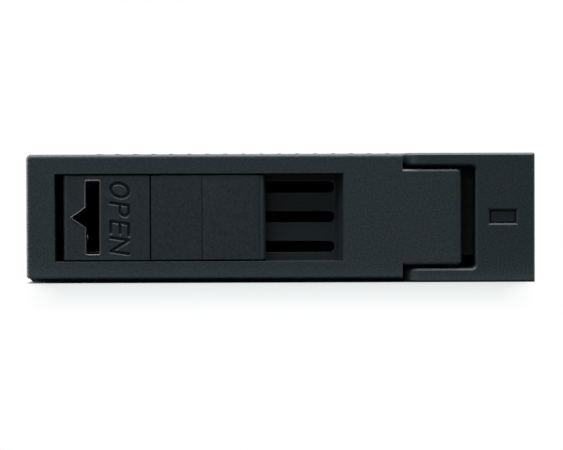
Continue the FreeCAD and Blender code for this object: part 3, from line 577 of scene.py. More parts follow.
# %% Shade the plastics
SHELL_SHADE = (0.0185, 0.0292, 0.0338)
DOOR_SHADE = (0.0225, 0.0345, 0.0392)
LATCH_SHADE = (0.0160, 0.0258, 0.0302)
ERODED = {"roughness": 0.45, "shine": 0.3}
SMOOTHER = {"roughness": 0.38, "shine": 0.4, "grain": 0.7}

shell_plastic = moulded_plastic("shell_plastic", SHELL_SHADE, **ERODED)
# The door's finish carries the painted shade of its recess.
door_plastic = moulded_plastic("door_plastic", DOOR_SHADE, **ERODED, painted_shade_box=(painted_shade_low, painted_shade_high))
latch_plastic = moulded_plastic("latch_plastic", LATCH_SHADE, **SMOOTHER)
print("plastics:", [finish.name for finish in (shell_plastic, door_plastic, latch_plastic)])

# %% [markdown]
# ## Give the mouldings their finish
#
# The two shells and the door come out of the mould in the shape that CAD drew. A copy would do, but
# a solid whose shape is right keeps its mesh, and only its material changes.

# %% Dress a node
def dress(finish, *nodes):
    """Replace the materials of CAD nodes by one finish."""
    for node in nodes:
        materials = frame["nodes"][node].data.materials
        materials.clear()
        materials.append(finish)


dress(shell_plastic, "base_shell", "top_cover")
dress(door_plastic, "front_door")
print("dressed the shells and the door")

# %% [markdown]
# ## Working copies for fine cuts
#
# Lettering, grooves and screw recesses would cost the CAD solids thousands of faces, so they are cut
# here. A texture could show them, but it would stay flat in the light from above. A CAD mesh arrives
# as loose triangles, so a working copy is welded along its edges and its flat areas are merged, which
# gives a Boolean cut clean faces to work on.

# %% Copy a solid
WELD = 0.0001 * MM
FLAT = math.radians(0.5)


def working_copy(node):
    """Welded copy of a CAD node's mesh, as an object of its own."""
    source = frame["nodes"][node]
    solid = bmesh.new()
    solid.from_mesh(source.data)
    solid.transform(source.matrix_world)
    bmesh.ops.remove_doubles(solid, verts=solid.verts, dist=WELD)
    bmesh.ops.dissolve_limit(solid, angle_limit=FLAT, verts=solid.verts, edges=solid.edges)
    mesh = bpy.data.meshes.new(node + "_copy")
    solid.to_mesh(mesh)
    solid.free()
    mesh.materials.clear()
    return new_object(node + "_copy", mesh)


print("copies are welded within", round(WELD / MM, 4), "mm")

# %% [markdown]
# ## Cut, then shade
#
# Cutters are laid over a copy and taken out of it in one go. The cut could be left as a modifier, but
# then every cutter would have to stay in the scene. After it the mesh has round areas, flats and sharp
# corners side by side. Smooth shading alone would bulge the flats, and flat shading would show every
# facet, so edges above an angle are marked sharp.

# %% Cut a copy
SOFT_EDGE = math.radians(32)


def soft_shaded(mesh):
    """Shade round areas smoothly and keep corners sharp."""
    mesh.shade_smooth()
    mesh.set_sharp_from_angle(angle=SOFT_EDGE)


def cut_away(solid, cutters, crossing):
    """Cut each cutter, which may cross itself, out of a copy, and give back the mesh that is left."""
    for cutter in cutters:
        step = solid.modifiers.new("cut", "BOOLEAN")
        step.operation = "DIFFERENCE"
        step.solver = "EXACT"
        step.object = cutter
        step.use_self = crossing
    bpy.context.view_layer.update()
    shaped = solid.evaluated_get(bpy.context.evaluated_depsgraph_get())
    mesh = bpy.data.meshes.new_from_object(shaped)
    for tool in [solid, *cutters]:
        bpy.data.objects.remove(tool)
    soft_shaded(mesh)
    return mesh


print("edges stay sharp from", round(math.degrees(SOFT_EDGE)), "degrees")

# %% [markdown]
# ## From cut to piece
#
# A cut mesh becomes a piece when it has a finish, rides on a body and stands for its CAD node. Next to
# a cut, large flats still shade unevenly at their corners. More edges could be marked sharp, but the
# roundings would suffer, so weighted normals let the large faces decide.

# %% Make a cut piece
def place_piece(name, mesh, body, node):
    """New piece that rides on a body and stands for a CAD node."""
    piece = new_object(name, mesh)
    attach(piece, body)
    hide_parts(node)
    return piece


def cut_piece(node, name, body, finish, cutters, crossing=False):
    """Piece that stands for a CAD node with some cutters taken out of it."""
    mesh = cut_away(working_copy(node), cutters, crossing)
    mesh.materials.append(finish)
    piece = place_piece(name, mesh, body, node)
    step = piece.modifiers.new("even_normals", "WEIGHTED_NORMAL")
    step.keep_sharp = True
    print(name, "has", len(mesh.polygons), "faces")
    return piece


print("helpers: place_piece, cut_piece")

# %% [markdown]
# ## Lettering on the slider
#
# The slider says what it does in four engraved letters that run down its face, slanted and of even
# stroke. A text object would be quicker, but it has outlines, and an engraver needs the middle line of
# each stroke. So these lines are drawn here: along the word is a, up the letter is b. Straight strokes
# are divided into short pieces, so that shading doesn't run along a whole stroke.

# %% Lines and arcs
STROKE_STEP = 0.3


def arc(middle, wide, high, start, end, count):
    """Points on an ellipse, with angles in degrees."""
    turns = [math.radians(start + (end - start) * n / count) for n in range(count + 1)]
    return [(middle[0] + wide * math.cos(turn), middle[1] + high * math.sin(turn)) for turn in turns]


def straight(first, last):
    """Points from one end of a straight stroke to the other."""
    count = math.ceil((Vector(last) - Vector(first)).length / STROKE_STEP)
    return [tuple(Vector(first).lerp(Vector(last), n / count)) for n in range(count + 1)]


print("stroke step in mm:", STROKE_STEP)

# %% [markdown]
# ## Four letters
#
# All four letters have one height, and each is a few strokes: a ring, a stem with a bowl, a stem with
# three arms, and two stems with a slope. They could be traced point by point, but a few measured lengths
# say the same and can be corrected one at a time. A stroke that leaves another one starts a little
# inside it. Each letter starts at its own height on the slider, in millimetres above the table.

# %% Draw the letters
LETTER_HIGH = 3.55
ROUND_HALF = 1.38
ROUND_STEPS = 28
BOWL_FOOT = 1.8
BOWL_START = 1.3
FOOT_ARM = 2.25
MIDDLE_ARM = 2.1
MIDDLE_LEVEL = 1.85
HEAD_ARM = 2.28
STEM_GAP = 2.73
JOINT = 0.08
RING_Z = 18.77
BOWL_Z = 16.0
ARMS_Z = 12.32
SLOPE_Z = 9.06

bowl_r = (LETTER_HIGH - BOWL_FOOT) / 2
bowl = straight((JOINT, LETTER_HIGH), (BOWL_START, LETTER_HIGH))
bowl += arc((BOWL_START, BOWL_FOOT + bowl_r), bowl_r, bowl_r, 90, -90, ROUND_STEPS // 2)[1:-1]
bowl += straight((BOWL_START, BOWL_FOOT), (JOINT, BOWL_FOOT))
ring = arc((0, LETTER_HIGH / 2), ROUND_HALF, LETTER_HIGH / 2, 0, 360, ROUND_STEPS)[:-1]
stem = straight((0, 0), (0, LETTER_HIGH))
foot_arm = straight((JOINT, 0), (FOOT_ARM, 0))
middle_arm = straight((JOINT, MIDDLE_LEVEL), (MIDDLE_ARM, MIDDLE_LEVEL))
head_arm = straight((JOINT, LETTER_HIGH), (HEAD_ARM, LETTER_HIGH))
slope = straight((JOINT, LETTER_HIGH - JOINT), (STEM_GAP - JOINT, JOINT))
far_stem = straight((STEM_GAP, 0), (STEM_GAP, LETTER_HIGH))
letters = [(RING_Z, [ring]), (BOWL_Z, [stem, bowl]), (ARMS_Z, [stem, foot_arm, middle_arm, head_arm]),
           (SLOPE_Z, [stem, slope, far_stem])]
print("strokes per letter:", [len(lines) for start_z, lines in letters])

# %% [markdown]
# ## Two engraving tools
#
# A mould maker cuts such letters with a turning tool that follows the middle lines. Two tools are
# used here: a narrow deep one, whose slot stays dark, and a ball that breaks the edge of the slot, so
# that the lower lip of each stroke catches the light from above. One wedge-shaped tool would be
# simpler, but its even flanks would leave the strokes grey. A tool is half an outline: distances from
# its axis, and depths below the face.

# %% Shape the tools
SLOT_HALF = 0.26
SLOT_WALL = 0.32
SLOT_STEPS = 4
ABOVE_FACE = -0.4
LIP_R = 0.5
LIP_OUT = 0.3
LIP_STEPS = 14


def ball_tool(depth, radius, steps):
    """Half the outline of a ball whose middle lies at a depth."""
    rim = arc((0, depth), radius, radius, -90, 90, steps)
    return [(0, depth - radius), *rim[1:-1], (0, depth + radius)]


slot_floor = arc((0, SLOT_WALL), SLOT_HALF, SLOT_HALF, 0, 90, SLOT_STEPS)
slot_tool = [(0, ABOVE_FACE), (SLOT_HALF, ABOVE_FACE), *slot_floor[:-1], (0, SLOT_WALL + SLOT_HALF)]
lip_tool = ball_tool(-LIP_OUT, LIP_R, LIP_STEPS)
print("points per tool:", len(slot_tool), len(lip_tool))

# %% [markdown]
# ## Walls and turned ends
#
# The space that a tool clears is a closed skin: two walls along the line, and a turned end where an
# open stroke stops. A bevelled curve would make such a skin too, but it has no turned ends and it
# pinches in corners. So the skin is built here point by point. One helper places a wall of the tool,
# one fills the faces between two walls, and one turns the tool half round at an end.

# %% Walls and ends
END_STEPS = 8


def wall_points(skin, spot, way, tool):
    """Points of a tool's wall on one side of its axis."""
    places = [spot + way * r * MM + Vector((0, depth * MM, 0)) for r, depth in tool[1:-1]]
    return [skin.verts.new(place) for place in places]


def skin_between(skin, column, following):
    """Faces between two rows of points, which may share their ends."""
    for corners in zip(column, column[1:], following[1:], following):
        skin.faces.new(list(dict.fromkeys(corners)))


def turned_end(skin, spot, side, onward, tool, pair):
    """Close one end of a stroke with half a turn of the tool."""
    column, opposite = pair
    for n in range(1, END_STEPS):
        turn = math.pi * n / END_STEPS
        way = side * math.cos(turn) + onward * math.sin(turn)
        following = [column[0], *wall_points(skin, spot, way, tool), column[-1]]
        skin_between(skin, column, following)
        column = following
    skin_between(skin, column, opposite)


print("turned ends have", END_STEPS, "steps")

# %% [markdown]
# ## Sweep a tool along a stroke
#
# The tool then follows the line. At every point its walls stand square to the line, and in a corner a
# little further out, as a mitre needs. Boxes and balls along the line would clear the same space, but
# they would have to be joined first.

# %% Sweep
LONGEST_MITRE = 1.2


def sweep(skin, spots, closed, tool):
    """Add the space that a tool clears along a line that lies flat on the front."""
    ways = []
    columns = []
    for n, spot in enumerate(spots):
        before = spots[n - 1] if n or closed else None
        after = spots[(n + 1) % len(spots)] if n < len(spots) - 1 or closed else None
        onward = ((after or spot) - (before or spot)).normalized()
        leg = (after - spot if after else spot - before).normalized()
        side = Vector((-onward.z, 0, onward.x))
        ways.append((side, onward))
        mitre = min(1 / side.dot(Vector((-leg.z, 0, leg.x))), LONGEST_MITRE)
        poles = [skin.verts.new(spot + Vector((0, depth * MM, 0))) for r, depth in (tool[0], tool[-1])]
        walls = [wall_points(skin, spot, way, tool) for way in (side * mitre, -side * mitre)]
        columns.append([[poles[0], *wall, poles[1]] for wall in walls])
    for pair, following in zip(columns, columns[1:] + columns[:1] if closed else columns[1:]):
        for column, other in zip(pair, following):
            skin_between(skin, column, other)
    if not closed:
        turned_end(skin, spots[0], ways[0][0], -ways[0][1], tool, columns[0])
        turned_end(skin, spots[-1], ways[-1][0], ways[-1][1], tool, columns[-1])


def closed_mesh(skin, name):
    """Mesh of a closed skin, with its faces outwards."""
    bmesh.ops.recalc_face_normals(skin, faces=skin.faces)
    mesh = bpy.data.meshes.new(name)
    skin.to_mesh(mesh)
    skin.free()
    return mesh


print("corners reach out by", LONGEST_MITRE, "at most")

# %% [markdown]
# ## Engrave the word
#
# All strokes of the word go into one cutter per tool, and both cutters are taken out of a copy of the
# slider at once. Cutting stroke by stroke would work too, but each cut would have to face the edges
# that the last one left. Each stroke of a letter goes a hair deeper than the one before, because skins
# that coincide trouble a Boolean cut. The slant moves the tops of the letters along the word.

# %% Cut the letters
LETTER_BASE = -33.86
SLANT = 0.15
HAIR = 0.006

slider_low, slider_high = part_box("latch_slider")
slider_face = slider_low[1]


def on_slider(points, start_z, depth):
    """Places on the slider's face of points given along the word and up the letter."""
    level = slider_face + depth * MM
    return [Vector(((LETTER_BASE + b) * MM, level, (start_z - a - SLANT * b) * MM)) for a, b in points]


cutters = []
for tool in (lip_tool, slot_tool):
    skin = bmesh.new()
    for start_z, lines in letters:
        for n, points in enumerate(lines):
            sweep(skin, on_slider(points, start_z, n * HAIR), points is ring, tool)
    cutters.append(new_object("letter_cutter", closed_mesh(skin, "letter_cutter")))
cut_piece("latch_slider", "engraved_slider", "latch", latch_plastic, cutters,
          crossing=True)

# %% [markdown]
# ## Outline of the arrow
#
# An arrow is cut through the slider, and its edge is worn smooth by the thumb, so that it shines as a
# thin line. The line could be painted along the edge, but only a shape shines where the light is. The
# path for it runs round the arrow a little outside its chamfer: a bar with round corners, and a head on
# one side whose sloping edges keep the same distance.

# %% Draw the arrow
ARROW_LEFT = -38.92
ARROW_RIGHT = -36.05
ARROW_TIP = -41.8
ARROW_HALF = 7.38
HEAD_HALF = 2.0
BEAD_OUT = 0.08
CORNER_R = 0.45
CORNER_STEPS = 6

head_angle = math.atan2(HEAD_HALF, ARROW_LEFT - ARROW_TIP)
head_high = HEAD_HALF + BEAD_OUT * math.tan((math.pi / 2 - head_angle) / 2)
tip = ARROW_TIP - BEAD_OUT / math.sin(head_angle)
left = ARROW_LEFT - BEAD_OUT
right = ARROW_RIGHT + BEAD_OUT
high = ARROW_HALF + BEAD_OUT - CORNER_R
outline = arc((right - CORNER_R, high), CORNER_R, CORNER_R, 0, 90, CORNER_STEPS)
outline += arc((left + CORNER_R, high), CORNER_R, CORNER_R, 90, 180, CORNER_STEPS)
outline += [(left, head_high), (tip, 0), (left, -head_high)]
outline += arc((left + CORNER_R, -high), CORNER_R, CORNER_R, 180, 270, CORNER_STEPS)
outline += arc((right - CORNER_R, -high), CORNER_R, CORNER_R, 270, 360, CORNER_STEPS)
print("arrow points:", len(outline))

# %% [markdown]
# ## Bright rim of the arrow
#
# A flat chamfer would mirror only one direction, so the rim is a slim round bead along the edge, a
# little more than half sunk into the face: something round always finds some light to mirror. The sweep
# that made the cutters also makes the bead. Its finish is the latch's plastic, lighter and polished by
# use.

# %% Lay the bead
BEAD_R = 0.17
BEAD_SINK = 0.06
BEAD_STEPS = 10
BURNISHED_DARK = (0.040, 0.046, 0.050)
BURNISHED_LIGHT = (0.046, 0.052, 0.056)
BURNISHED_ROUGH = (0.18, 0.24)
BURNISHED_CLOUD = 0.6 * MM
BURNISHED_MARKS = 0.3 * MM

burnished, tree, surface = new_finish("burnished_plastic")
shade = between(tree, noise(tree, BURNISHED_CLOUD), BURNISHED_DARK, BURNISHED_LIGHT)
tree.links.new(shade, surface.inputs["Base Color"])
tree.links.new(spread(tree, noise(tree, BURNISHED_MARKS), *BURNISHED_ROUGH), surface.inputs["Roughness"])
surface.inputs["Specular IOR Level"].default_value = 1.0

arrow_middle = (slider_low[2] + slider_high[2]) / 2
bead_path = [Vector((x * MM, slider_face, arrow_middle + z * MM)) for x, z in outline]
skin = bmesh.new()
sweep(skin, bead_path, True, ball_tool(BEAD_SINK, BEAD_R, BEAD_STEPS))
rim_mesh = closed_mesh(skin, "arrow_rim")
soft_shaded(rim_mesh)
rim_mesh.materials.append(burnished)
arrow_rim = new_object("arrow_rim", rim_mesh)
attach(arrow_rim, "latch")
print("rim faces:", len(rim_mesh.polygons))

# %% [markdown]
# ## Sink line on the latch cover
#
# A faint upright line on the cover plate looks like a sink line: plastic over a rib shrinks as it
# cools. Bump would do from afar, but a real groove keeps its shadow when the door swings. It is cut
# with a narrow wedge, lofted between a loop of points below the plate and one above it.

# %% Groove the cover
SINK_X = -15.65
LINE_HALF = 0.12
LINE_DEEP = 0.3
CUTTER_PAST = 1.0


def loft(skin, loops, closed=False):
    """Skin through loops of points, with a cap at each end or closed into a ring."""
    rings = [[skin.verts.new(point) for point in loop] for loop in loops]
    for ring, following in zip(rings, rings[1:] + rings[:1] if closed else rings[1:]):
        for n in range(len(ring)):
            skin.faces.new((ring[n - 1], ring[n], following[n], following[n - 1]))
    if not closed:
        skin.faces.new(rings[0])
        skin.faces.new(rings[-1])


cover_low, cover_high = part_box("latch_cover")
wedge_half = LINE_HALF * (1 + CUTTER_PAST / LINE_DEEP)
section = [(SINK_X, LINE_DEEP), (SINK_X + wedge_half, -CUTTER_PAST), (SINK_X - wedge_half, -CUTTER_PAST)]
levels = (cover_low[2] - CUTTER_PAST * MM, cover_high[2] + CUTTER_PAST * MM)
skin = bmesh.new()
loft(skin, [[(x * MM, cover_low[1] + depth * MM, z) for x, depth in section] for z in levels])
wedge = new_object("sink_wedge", closed_mesh(skin, "sink_wedge"))
cut_piece("latch_cover", "grooved_cover", "door", latch_plastic, [wedge])

# %% [markdown]
# ## Metals
#
# The spring and the board screws are bright drawn steel, the hinge pin and the case screws are
# blackened, the bushes are turned brass and the contacts carry a flash of gold. Metal has no colour of
# its own beyond what it mirrors, so each finish is a tint, a roughness and fine streaks. Streaks that
# follow the tool would need a direction on each piece, and on parts this small plain noise does.

# %% Metal finishes
STREAK_DETAIL = 4.0
STREAK_DEPTH = 0.01 * MM
STREAK_STRENGTH = 0.4
TINT_LOW = 0.88
TINT_HIGH = 1.1
METAL_SWING = 0.07
STEEL = (0.55, 0.55, 0.56)
ZINC = (0.03, 0.03, 0.032)
BRASS = (0.70, 0.52, 0.22)
GOLD = (0.85, 0.62, 0.25)


def metal(name, tint, roughness, streak, metallic=1.0):
    """Metal with a tint and fine streaks in its roughness."""
    finish, tree, surface = new_finish(name)
    surface.inputs["Metallic"].default_value = metallic
    marks = noise(tree, streak, STREAK_DETAIL)
    colour = between(tree, marks, scaled(tint, TINT_LOW), scaled(tint, TINT_HIGH))
    tree.links.new(colour, surface.inputs["Base Color"])
    dull = spread(tree, marks, roughness - METAL_SWING, roughness + METAL_SWING)
    tree.links.new(dull, surface.inputs["Roughness"])
    emboss(tree, surface, marks, STREAK_DEPTH, STREAK_STRENGTH)
    return finish


bright_steel = metal("bright_steel", STEEL, roughness=0.3, streak=0.3 * MM)
black_zinc = metal("black_zinc", ZINC, roughness=0.42, streak=0.5 * MM, metallic=0.7)
turned_brass = metal("turned_brass", BRASS, roughness=0.3, streak=0.4 * MM)
contact_gold = metal("contact_gold", GOLD, roughness=0.36, streak=0.3 * MM)
dress(black_zinc, "hinge_pin")
dress(contact_gold, "drive_socket_contacts", "host_plug_contacts")
print("metals:", [finish.name for finish in (bright_steel, black_zinc, turned_brass, contact_gold)])

# %% [markdown]
# ## Wire of the latch spring
#
# A steel coil pushes the slider back. The CAD coil is coarse, so this one is wound again from smooth
# round wire. A Screw modifier could wind it, but here the loops of the wire are placed one by one along
# the helix, which keeps both ends exactly where they are needed.

# %% Wind the wire
WIRE_R = 0.15 * MM
WIRE_SIDES = 10
COIL_R = 0.85 * MM
COIL_TURNS = 6
COIL_STEPS = 36
COIL_GAP = 0.05 * MM


def wire_loop(middle, outward):
    """Points round the wire where it passes one place of the coil."""
    angles = [2 * math.pi * side / WIRE_SIDES for side in range(WIRE_SIDES)]
    onward = Vector((1, 0, 0))
    return [middle + (outward * math.cos(angle) + onward * math.sin(angle)) * WIRE_R for angle in angles]


spring_low, spring_high = [Vector(corner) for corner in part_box("latch_spring")]
axis = (spring_low + spring_high) / 2
coil_start = Vector((spring_low.x + WIRE_R + COIL_GAP, axis.y, axis.z))
coil_end = Vector((spring_high.x - WIRE_R - COIL_GAP, axis.y, axis.z))
loops = []
for step in range(COIL_TURNS * COIL_STEPS + 1):
    turn = 2 * math.pi * step / COIL_STEPS
    outward = Vector((0, math.cos(turn), math.sin(turn)))
    middle = coil_start.lerp(coil_end, step / (COIL_TURNS * COIL_STEPS)) + outward * COIL_R
    loops.append(wire_loop(middle, outward))
print("loops of wire:", len(loops))

# %% [markdown]
# ## The spring in place
#
# One end of the coil stays with the door, and the other goes with the slider. A rigid coil would leave
# one of them; this one is built once, at rest, takes the place of the CAD spring and rides on no body.

# %% Fit the spring
skin = bmesh.new()
loft(skin, loops)
spring_mesh = closed_mesh(skin, "coil_spring")
spring_mesh.shade_smooth()
spring_mesh.materials.append(bright_steel)
spring = new_object("coil_spring", spring_mesh)
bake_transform(spring)
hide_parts("latch_spring")
print("spring faces:", len(spring_mesh.polygons))

# %% [markdown]
# ## Where the small parts are
#
# Screws, bushes and chips come as groups: several separate solids in one CAD node. Their places could
# be copied from the drawing as numbers, but numbers go stale when the drawing changes. So each group is
# taken apart here: starting from one corner, all corners that edges lead to are one solid.

# %% Take a group apart
def solids_of(node):
    """Lowest and highest corner of each separate solid of a CAD node."""
    source = bmesh.new()
    source.from_mesh(frame["nodes"][node].data)
    bmesh.ops.remove_doubles(source, verts=source.verts, dist=WELD)
    boxes = []
    known = set()
    for first in source.verts:
        if first in known:
            continue
        known.add(first)
        solid = [first]
        for vert in solid:
            joined = {edge.other_vert(vert) for edge in vert.link_edges} - known
            known |= joined
            solid += joined
        axes = list(zip(*[vert.co for vert in solid]))
        boxes.append((Vector([min(axis) for axis in axes]), Vector([max(axis) for axis in axes])))
    source.free()
    return boxes


print("case screws:", len(solids_of("case_screws")), "board screws:", len(solids_of("board_screws")))

# %% [markdown]
# ## Screw heads
#
# Each screw is driven by a cross recess. A punch presses it into the head, so it is cut here with the
# punch's own shape: two crossed bars that taper inwards. Adding the recess as faces would mean cutting
# the round head apart by hand. The case screws point up and show their heads below, and the board
# screws point down.

# %% Cut the cross recesses
RECESS_WIDE = 0.24
RECESS_REACH = 0.62
RECESS_DEEP = 0.375
RECESS_OUT = 0.1
RECESS_TAPER = 0.55


def tapered_bar(face, along, inward, head_r):
    """One of the two bars of a cross recess, from just outside the head's face inwards."""
    across = Vector((-along.y, along.x, 0))
    depth = RECESS_DEEP * head_r
    loops = []
    for level, size in ((-RECESS_OUT * depth, 1.0), (depth, RECESS_TAPER)):
        middle = face + Vector((0, 0, inward * level))
        far = along * RECESS_REACH * head_r * size
        wide = across * RECESS_WIDE * head_r * size
        corners = (-far - wide, far - wide, far + wide, wide - far)
        loops.append([middle + corner for corner in corners])
    skin = bmesh.new()
    loft(skin, loops)
    return new_object("recess", closed_mesh(skin, "recess"))


def cross_headed(node, name, inward, finish):
    """Copy of a group of screws with a cross recess in each head."""
    bars = []
    for low, high in solids_of(node):
        face = (low + high) / 2
        face.z = low.z if inward > 0 else high.z
        head_r = (high.x - low.x) / 2
        bars += [tapered_bar(face, Vector(along), inward, head_r) for along in ((1, 0, 0), (0, 1, 0))]
    return cut_piece(node, name, "housing", finish, bars)


cross_headed("case_screws", "cross_case_screws", 1, black_zinc)
cross_headed("board_screws", "cross_board_screws", -1, bright_steel)

# %% [markdown]
# ## Threaded bushes
#
# The cage's screws go into six-sided brass bushes. Their CAD holes are plain, at the thread's crest,
# so the thread is cut outwards from there. A Boolean cut with a screw would leave ragged edges. Instead
# a grid of points is laid round the bore, whose radius rises and falls along a helix, and the outside
# follows the hexagon at the same angles, which closes the skin without loose faces.

# %% One bush
BUSH_SIDES = 6
BUSH_R = 2.3 * MM
BUSH_LONG = 3.2 * MM
CREST_R = 1.4 * MM
THREAD_DEEP = 0.22 * MM
THREAD_PITCH = 0.794 * MM
THREAD_LEVELS = 36
BUSH_POINTS = 48


def hexagon_r(angle):
    """Distance from the middle to the side of the hexagon at one angle."""
    sector = 2 * math.pi / BUSH_SIDES
    return BUSH_R * math.cos(sector / 2) / math.cos(angle % sector - sector / 2)


def thread_r(angle, level):
    """Distance from the middle to the thread at one angle and level."""
    phase = (level / THREAD_PITCH + angle / (2 * math.pi)) % 1
    return CREST_R + THREAD_DEEP * (1 - abs(2 * phase - 1))


def threaded_bush(skin, start, way):
    """Add one bush that runs from a point along a direction."""
    turn = Vector((0, 0, 1)).rotation_difference(way)
    angles = [2 * math.pi * n / BUSH_POINTS for n in range(BUSH_POINTS)]
    loops = [[(hexagon_r(angle), angle, level) for angle in angles] for level in (BUSH_LONG, 0.0)]
    for n in range(THREAD_LEVELS + 1):
        level = BUSH_LONG * n / THREAD_LEVELS
        loops.append([(thread_r(angle, level), angle, level) for angle in angles])
    places = []
    for loop in loops:
        spots = [Vector((r * math.cos(angle), r * math.sin(angle), level)) for r, angle, level in loop]
        places.append([start + turn @ spot for spot in spots])
    loft(skin, places, closed=True)


print("thread turns per bush:", round(BUSH_LONG / THREAD_PITCH, 1))

# %% [markdown]
# ## Two groups of bushes
#
# Four bushes point inwards from the sides, and four stand in the floor, where the screws of a 3.5-inch
# drive go. An Array modifier needs equal steps, and these aren't equal, so each bush is laid where its
# CAD solid is. It starts at the outer face of the shell.

# %% Turn the bushes
def bush_group(node, name, upright):
    """All the bushes of one CAD node, which stand upright or point inwards from the sides."""
    skin = bmesh.new()
    for low, high in solids_of(node):
        start = (low + high) / 2
        if upright:
            start.z = low.z
            way = Vector((0, 0, 1))
        else:
            start.x = low.x if start.x < 0 else high.x
            way = Vector((1 if start.x < 0 else -1, 0, 0))
        threaded_bush(skin, start, way)
    mesh = closed_mesh(skin, name)
    soft_shaded(mesh)
    mesh.materials.append(turned_brass)
    return place_piece(name, mesh, "housing", node)


side_bushes = bush_group("side_inserts", "threaded_side_bushes", upright=False)
bottom_bushes = bush_group("bottom_inserts", "threaded_bottom_bushes", upright=True)
print("bush faces:", len(side_bushes.data.polygons), len(bottom_bushes.data.polygons))

# %% [markdown]
# ## Smoked lens
#
# The light pipe is one clear moulding, tinted so that it looks dark until the lamp behind it is lit.
# Its face is polished and lies a little behind the pillar's front. Real transmission would show the
# dark inside of the shell after many bounces, so a dark, glossy surface with a thin coat gives the same
# look at once.

# %% Lens finish
LENS_CLOUD = 3 * MM
LENS_DARK = (0.008, 0.0125, 0.017)
LENS_LIGHT = (0.011, 0.0165, 0.022)
LENS_ROUGH = (0.2, 0.28)
LENS_COAT = 0.2

smoked_lens, tree, surface = new_finish("smoked_lens")
clouds = noise(tree, LENS_CLOUD)
tree.links.new(between(tree, clouds, LENS_DARK, LENS_LIGHT), surface.inputs["Base Color"])
tree.links.new(spread(tree, clouds, *LENS_ROUGH), surface.inputs["Roughness"])
surface.inputs["Coat Weight"].default_value = LENS_COAT
dress(smoked_lens, "light_pipe")
print("lens finish:", smoked_lens.name)

# %% [markdown]
# ## The board
#
# Green solder mask lies over a web of copper tracks, and the cut edge of the board shows its core of
# straw-coloured glass fibre. Tracks could be modelled one by one, but they are seen only through the
# open door, so a brick pattern with long thin bricks stands for them. The height in the board, from
# nought to one, tells the mask, which is only skin deep, from the core.

# %% Board finish
TRACK_PITCH = 1.27 * MM
TRACK_RUN = 9
TRACK_GAP = 0.12
TRACK_DEPTH = 0.03 * MM
TRACK_STRENGTH = 0.6
MASK_SKIN = 0.06
CORE_MIDDLE = 0.5
MASK_DARK = (0.012, 0.085, 0.035, 1)
MASK_LIGHT = (0.016, 0.1, 0.042, 1)
MASK_LINE = (0.03, 0.17, 0.07, 1)
FIBRE = (0.30, 0.27, 0.11)
MASK_CLOUD = 2 * MM
MASK_ROUGH = (0.3, 0.4)

board_low, board_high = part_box("adapter_board")
board_finish, tree, surface = new_finish("green_board")
tracks = add_node(tree, "TexBrick", {"Scale": 1.0, "Brick Width": TRACK_RUN * TRACK_PITCH,
                                     "Row Height": TRACK_PITCH, "Mortar Size": TRACK_GAP * TRACK_PITCH,
                                     "Color1": MASK_DARK, "Color2": MASK_LIGHT, "Mortar": MASK_LINE})
tree.links.new(add_node(tree, "TexCoord").outputs["Object"], tracks.inputs["Vector"])
height = stretched(tree, coordinates(tree)["Z"], board_low[2], board_high[2], 0.0, 1.0)
core = near(tree, height, CORE_MIDDLE, CORE_MIDDLE - MASK_SKIN)
tree.links.new(between(tree, core, tracks.outputs["Color"], FIBRE), surface.inputs["Base Color"])
tree.links.new(spread(tree, noise(tree, MASK_CLOUD), *MASK_ROUGH), surface.inputs["Roughness"])
emboss(tree, surface, tracks.outputs["Fac"], TRACK_DEPTH, TRACK_STRENGTH)
dress(board_finish, "adapter_board")
print("board between", round(board_low[2] / MM, 2), "and", round(board_high[2] / MM, 2), "mm")

# %% [markdown]
# ## The connectors
#
# The drive's socket and the plug at the rear are black moulded plastic, smoother than the shells and
# without their blue. They could have a material of their own, but the plastic from above fits with
# another shade and less grain.

# %% Connector finish
CONNECTOR_SHADE = (0.012, 0.012, 0.013)
FINE = {"roughness": 0.4, "shine": 0.4, "grain": 0.3}

connector_plastic = moulded_plastic("connector_plastic", CONNECTOR_SHADE, **FINE)
dress(connector_plastic, "drive_socket", "host_plug")
print("connector finish:", connector_plastic.name)

# %% [markdown]
# ## Chips on the board
#
# Capacitors, the resistor and the lamp are small moulded or fired blocks with metal ends that are
# soldered down. Their edges are never sharp. A Bevel modifier could soften them, but it would act on the
# finished chip, where blocks meet, so each block is softened as it is made.

# %% Soften a block
CHIP_SOFT = 0.05 * MM
SOFT_STEPS = 2


def chip_block(skin, low, high, finish_number):
    """Box with softened edges, in one of the piece's finishes."""
    made = bmesh.ops.create_cube(skin, size=1.0)
    middle = (low + high) / 2
    for vert in made["verts"]:
        vert.co = middle + vert.co * (high - low)
    edges = {edge for vert in made["verts"] for edge in vert.link_edges}
    soft = bmesh.ops.bevel(skin, geom=list(edges), offset=CHIP_SOFT, segments=SOFT_STEPS, affect="EDGES")
    for face in {face for vert in soft["verts"] for face in vert.link_faces}:
        face.material_index = finish_number


print("chip edges in mm:", round(CHIP_SOFT / MM, 2))

# %% [markdown]
# ## From blocks to chips
#
# One box with three painted zones would do from afar, but the ends of a real chip stand out a little.
# So each chip is a body between two slightly thicker caps, in the box of its CAD solid.

# %% Build the chips
CAP_SHARE = 0.2
CAP_GROW = 0.04 * MM
BODY_FINISH = 0
CAP_FINISH = 1


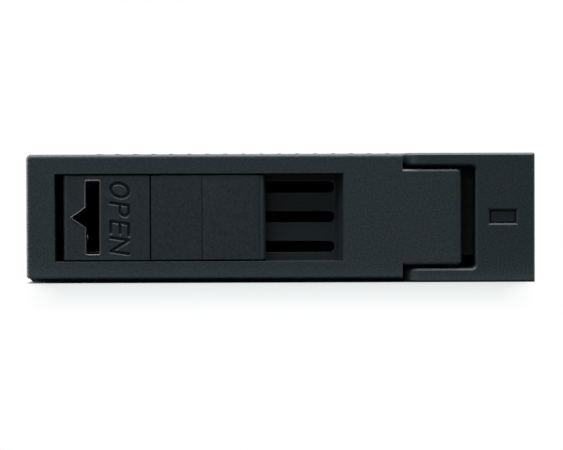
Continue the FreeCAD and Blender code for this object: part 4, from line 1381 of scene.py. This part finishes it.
def chip(skin, low, high):
    """One chip in a box: a body, and a metal cap at each end."""
    cap = Vector((CAP_SHARE * (high.x - low.x), 0, 0))
    thinner = Vector((0, CAP_GROW, 0))
    lower = Vector((0, 0, CAP_GROW))
    chip_block(skin, low + cap / 2 + thinner, high - cap / 2 - thinner - lower, BODY_FINISH)
    chip_block(skin, low, Vector((low.x + cap.x, high.y, high.z)), CAP_FINISH)
    chip_block(skin, Vector((high.x - cap.x, low.y, low.z)), high, CAP_FINISH)


def chips(node, name, body_finish):
    """Every chip of one CAD node."""
    skin = bmesh.new()
    for low, high in solids_of(node):
        chip(skin, low, high)
    mesh = closed_mesh(skin, name)
    mesh.materials.append(body_finish)
    mesh.materials.append(bright_steel)
    print(name, "has", len(mesh.polygons), "faces")
    return place_piece(name, mesh, "housing", node)


print("capacitors:", len(solids_of("board_capacitors")))

# %% [markdown]
# ## Bodies of the chips
#
# A ceramic capacitor is fired and dull brown, a resistor carries a black film, and the lamp is clear
# resin over a pale cup. Each could have its own tree, but all three are a slightly mottled shade with a
# roughness, so one function makes them.

# %% Fit the chips
FIRED_CLOUD = 0.5 * MM
FIRED_SWING = 0.05
BROWN = ((0.27, 0.18, 0.09), (0.33, 0.22, 0.11))
BLACK = ((0.018, 0.018, 0.02), (0.024, 0.024, 0.026))
PALE = ((0.70, 0.74, 0.62), (0.78, 0.80, 0.72))


def fired_body(name, shades, roughness):
    """Ceramic or moulded body with slight mottling."""
    finish, tree, surface = new_finish(name)
    patch = noise(tree, FIRED_CLOUD)
    colour = between(tree, spread(tree, patch, 0.0, 1.0), *shades)
    tree.links.new(colour, surface.inputs["Base Color"])
    dull = spread(tree, patch, roughness - FIRED_SWING, roughness + FIRED_SWING)
    tree.links.new(dull, surface.inputs["Roughness"])
    return finish


brown_ceramic = fired_body("brown_ceramic", BROWN, roughness=0.45)
black_film = fired_body("black_film", BLACK, roughness=0.4)
clear_lamp = fired_body("clear_lamp", PALE, roughness=0.2)
chips("board_capacitors", "capped_capacitors", brown_ceramic)
chips("led_resistor", "capped_resistor", black_film)
chips("status_led", "capped_lamp", clear_lamp)
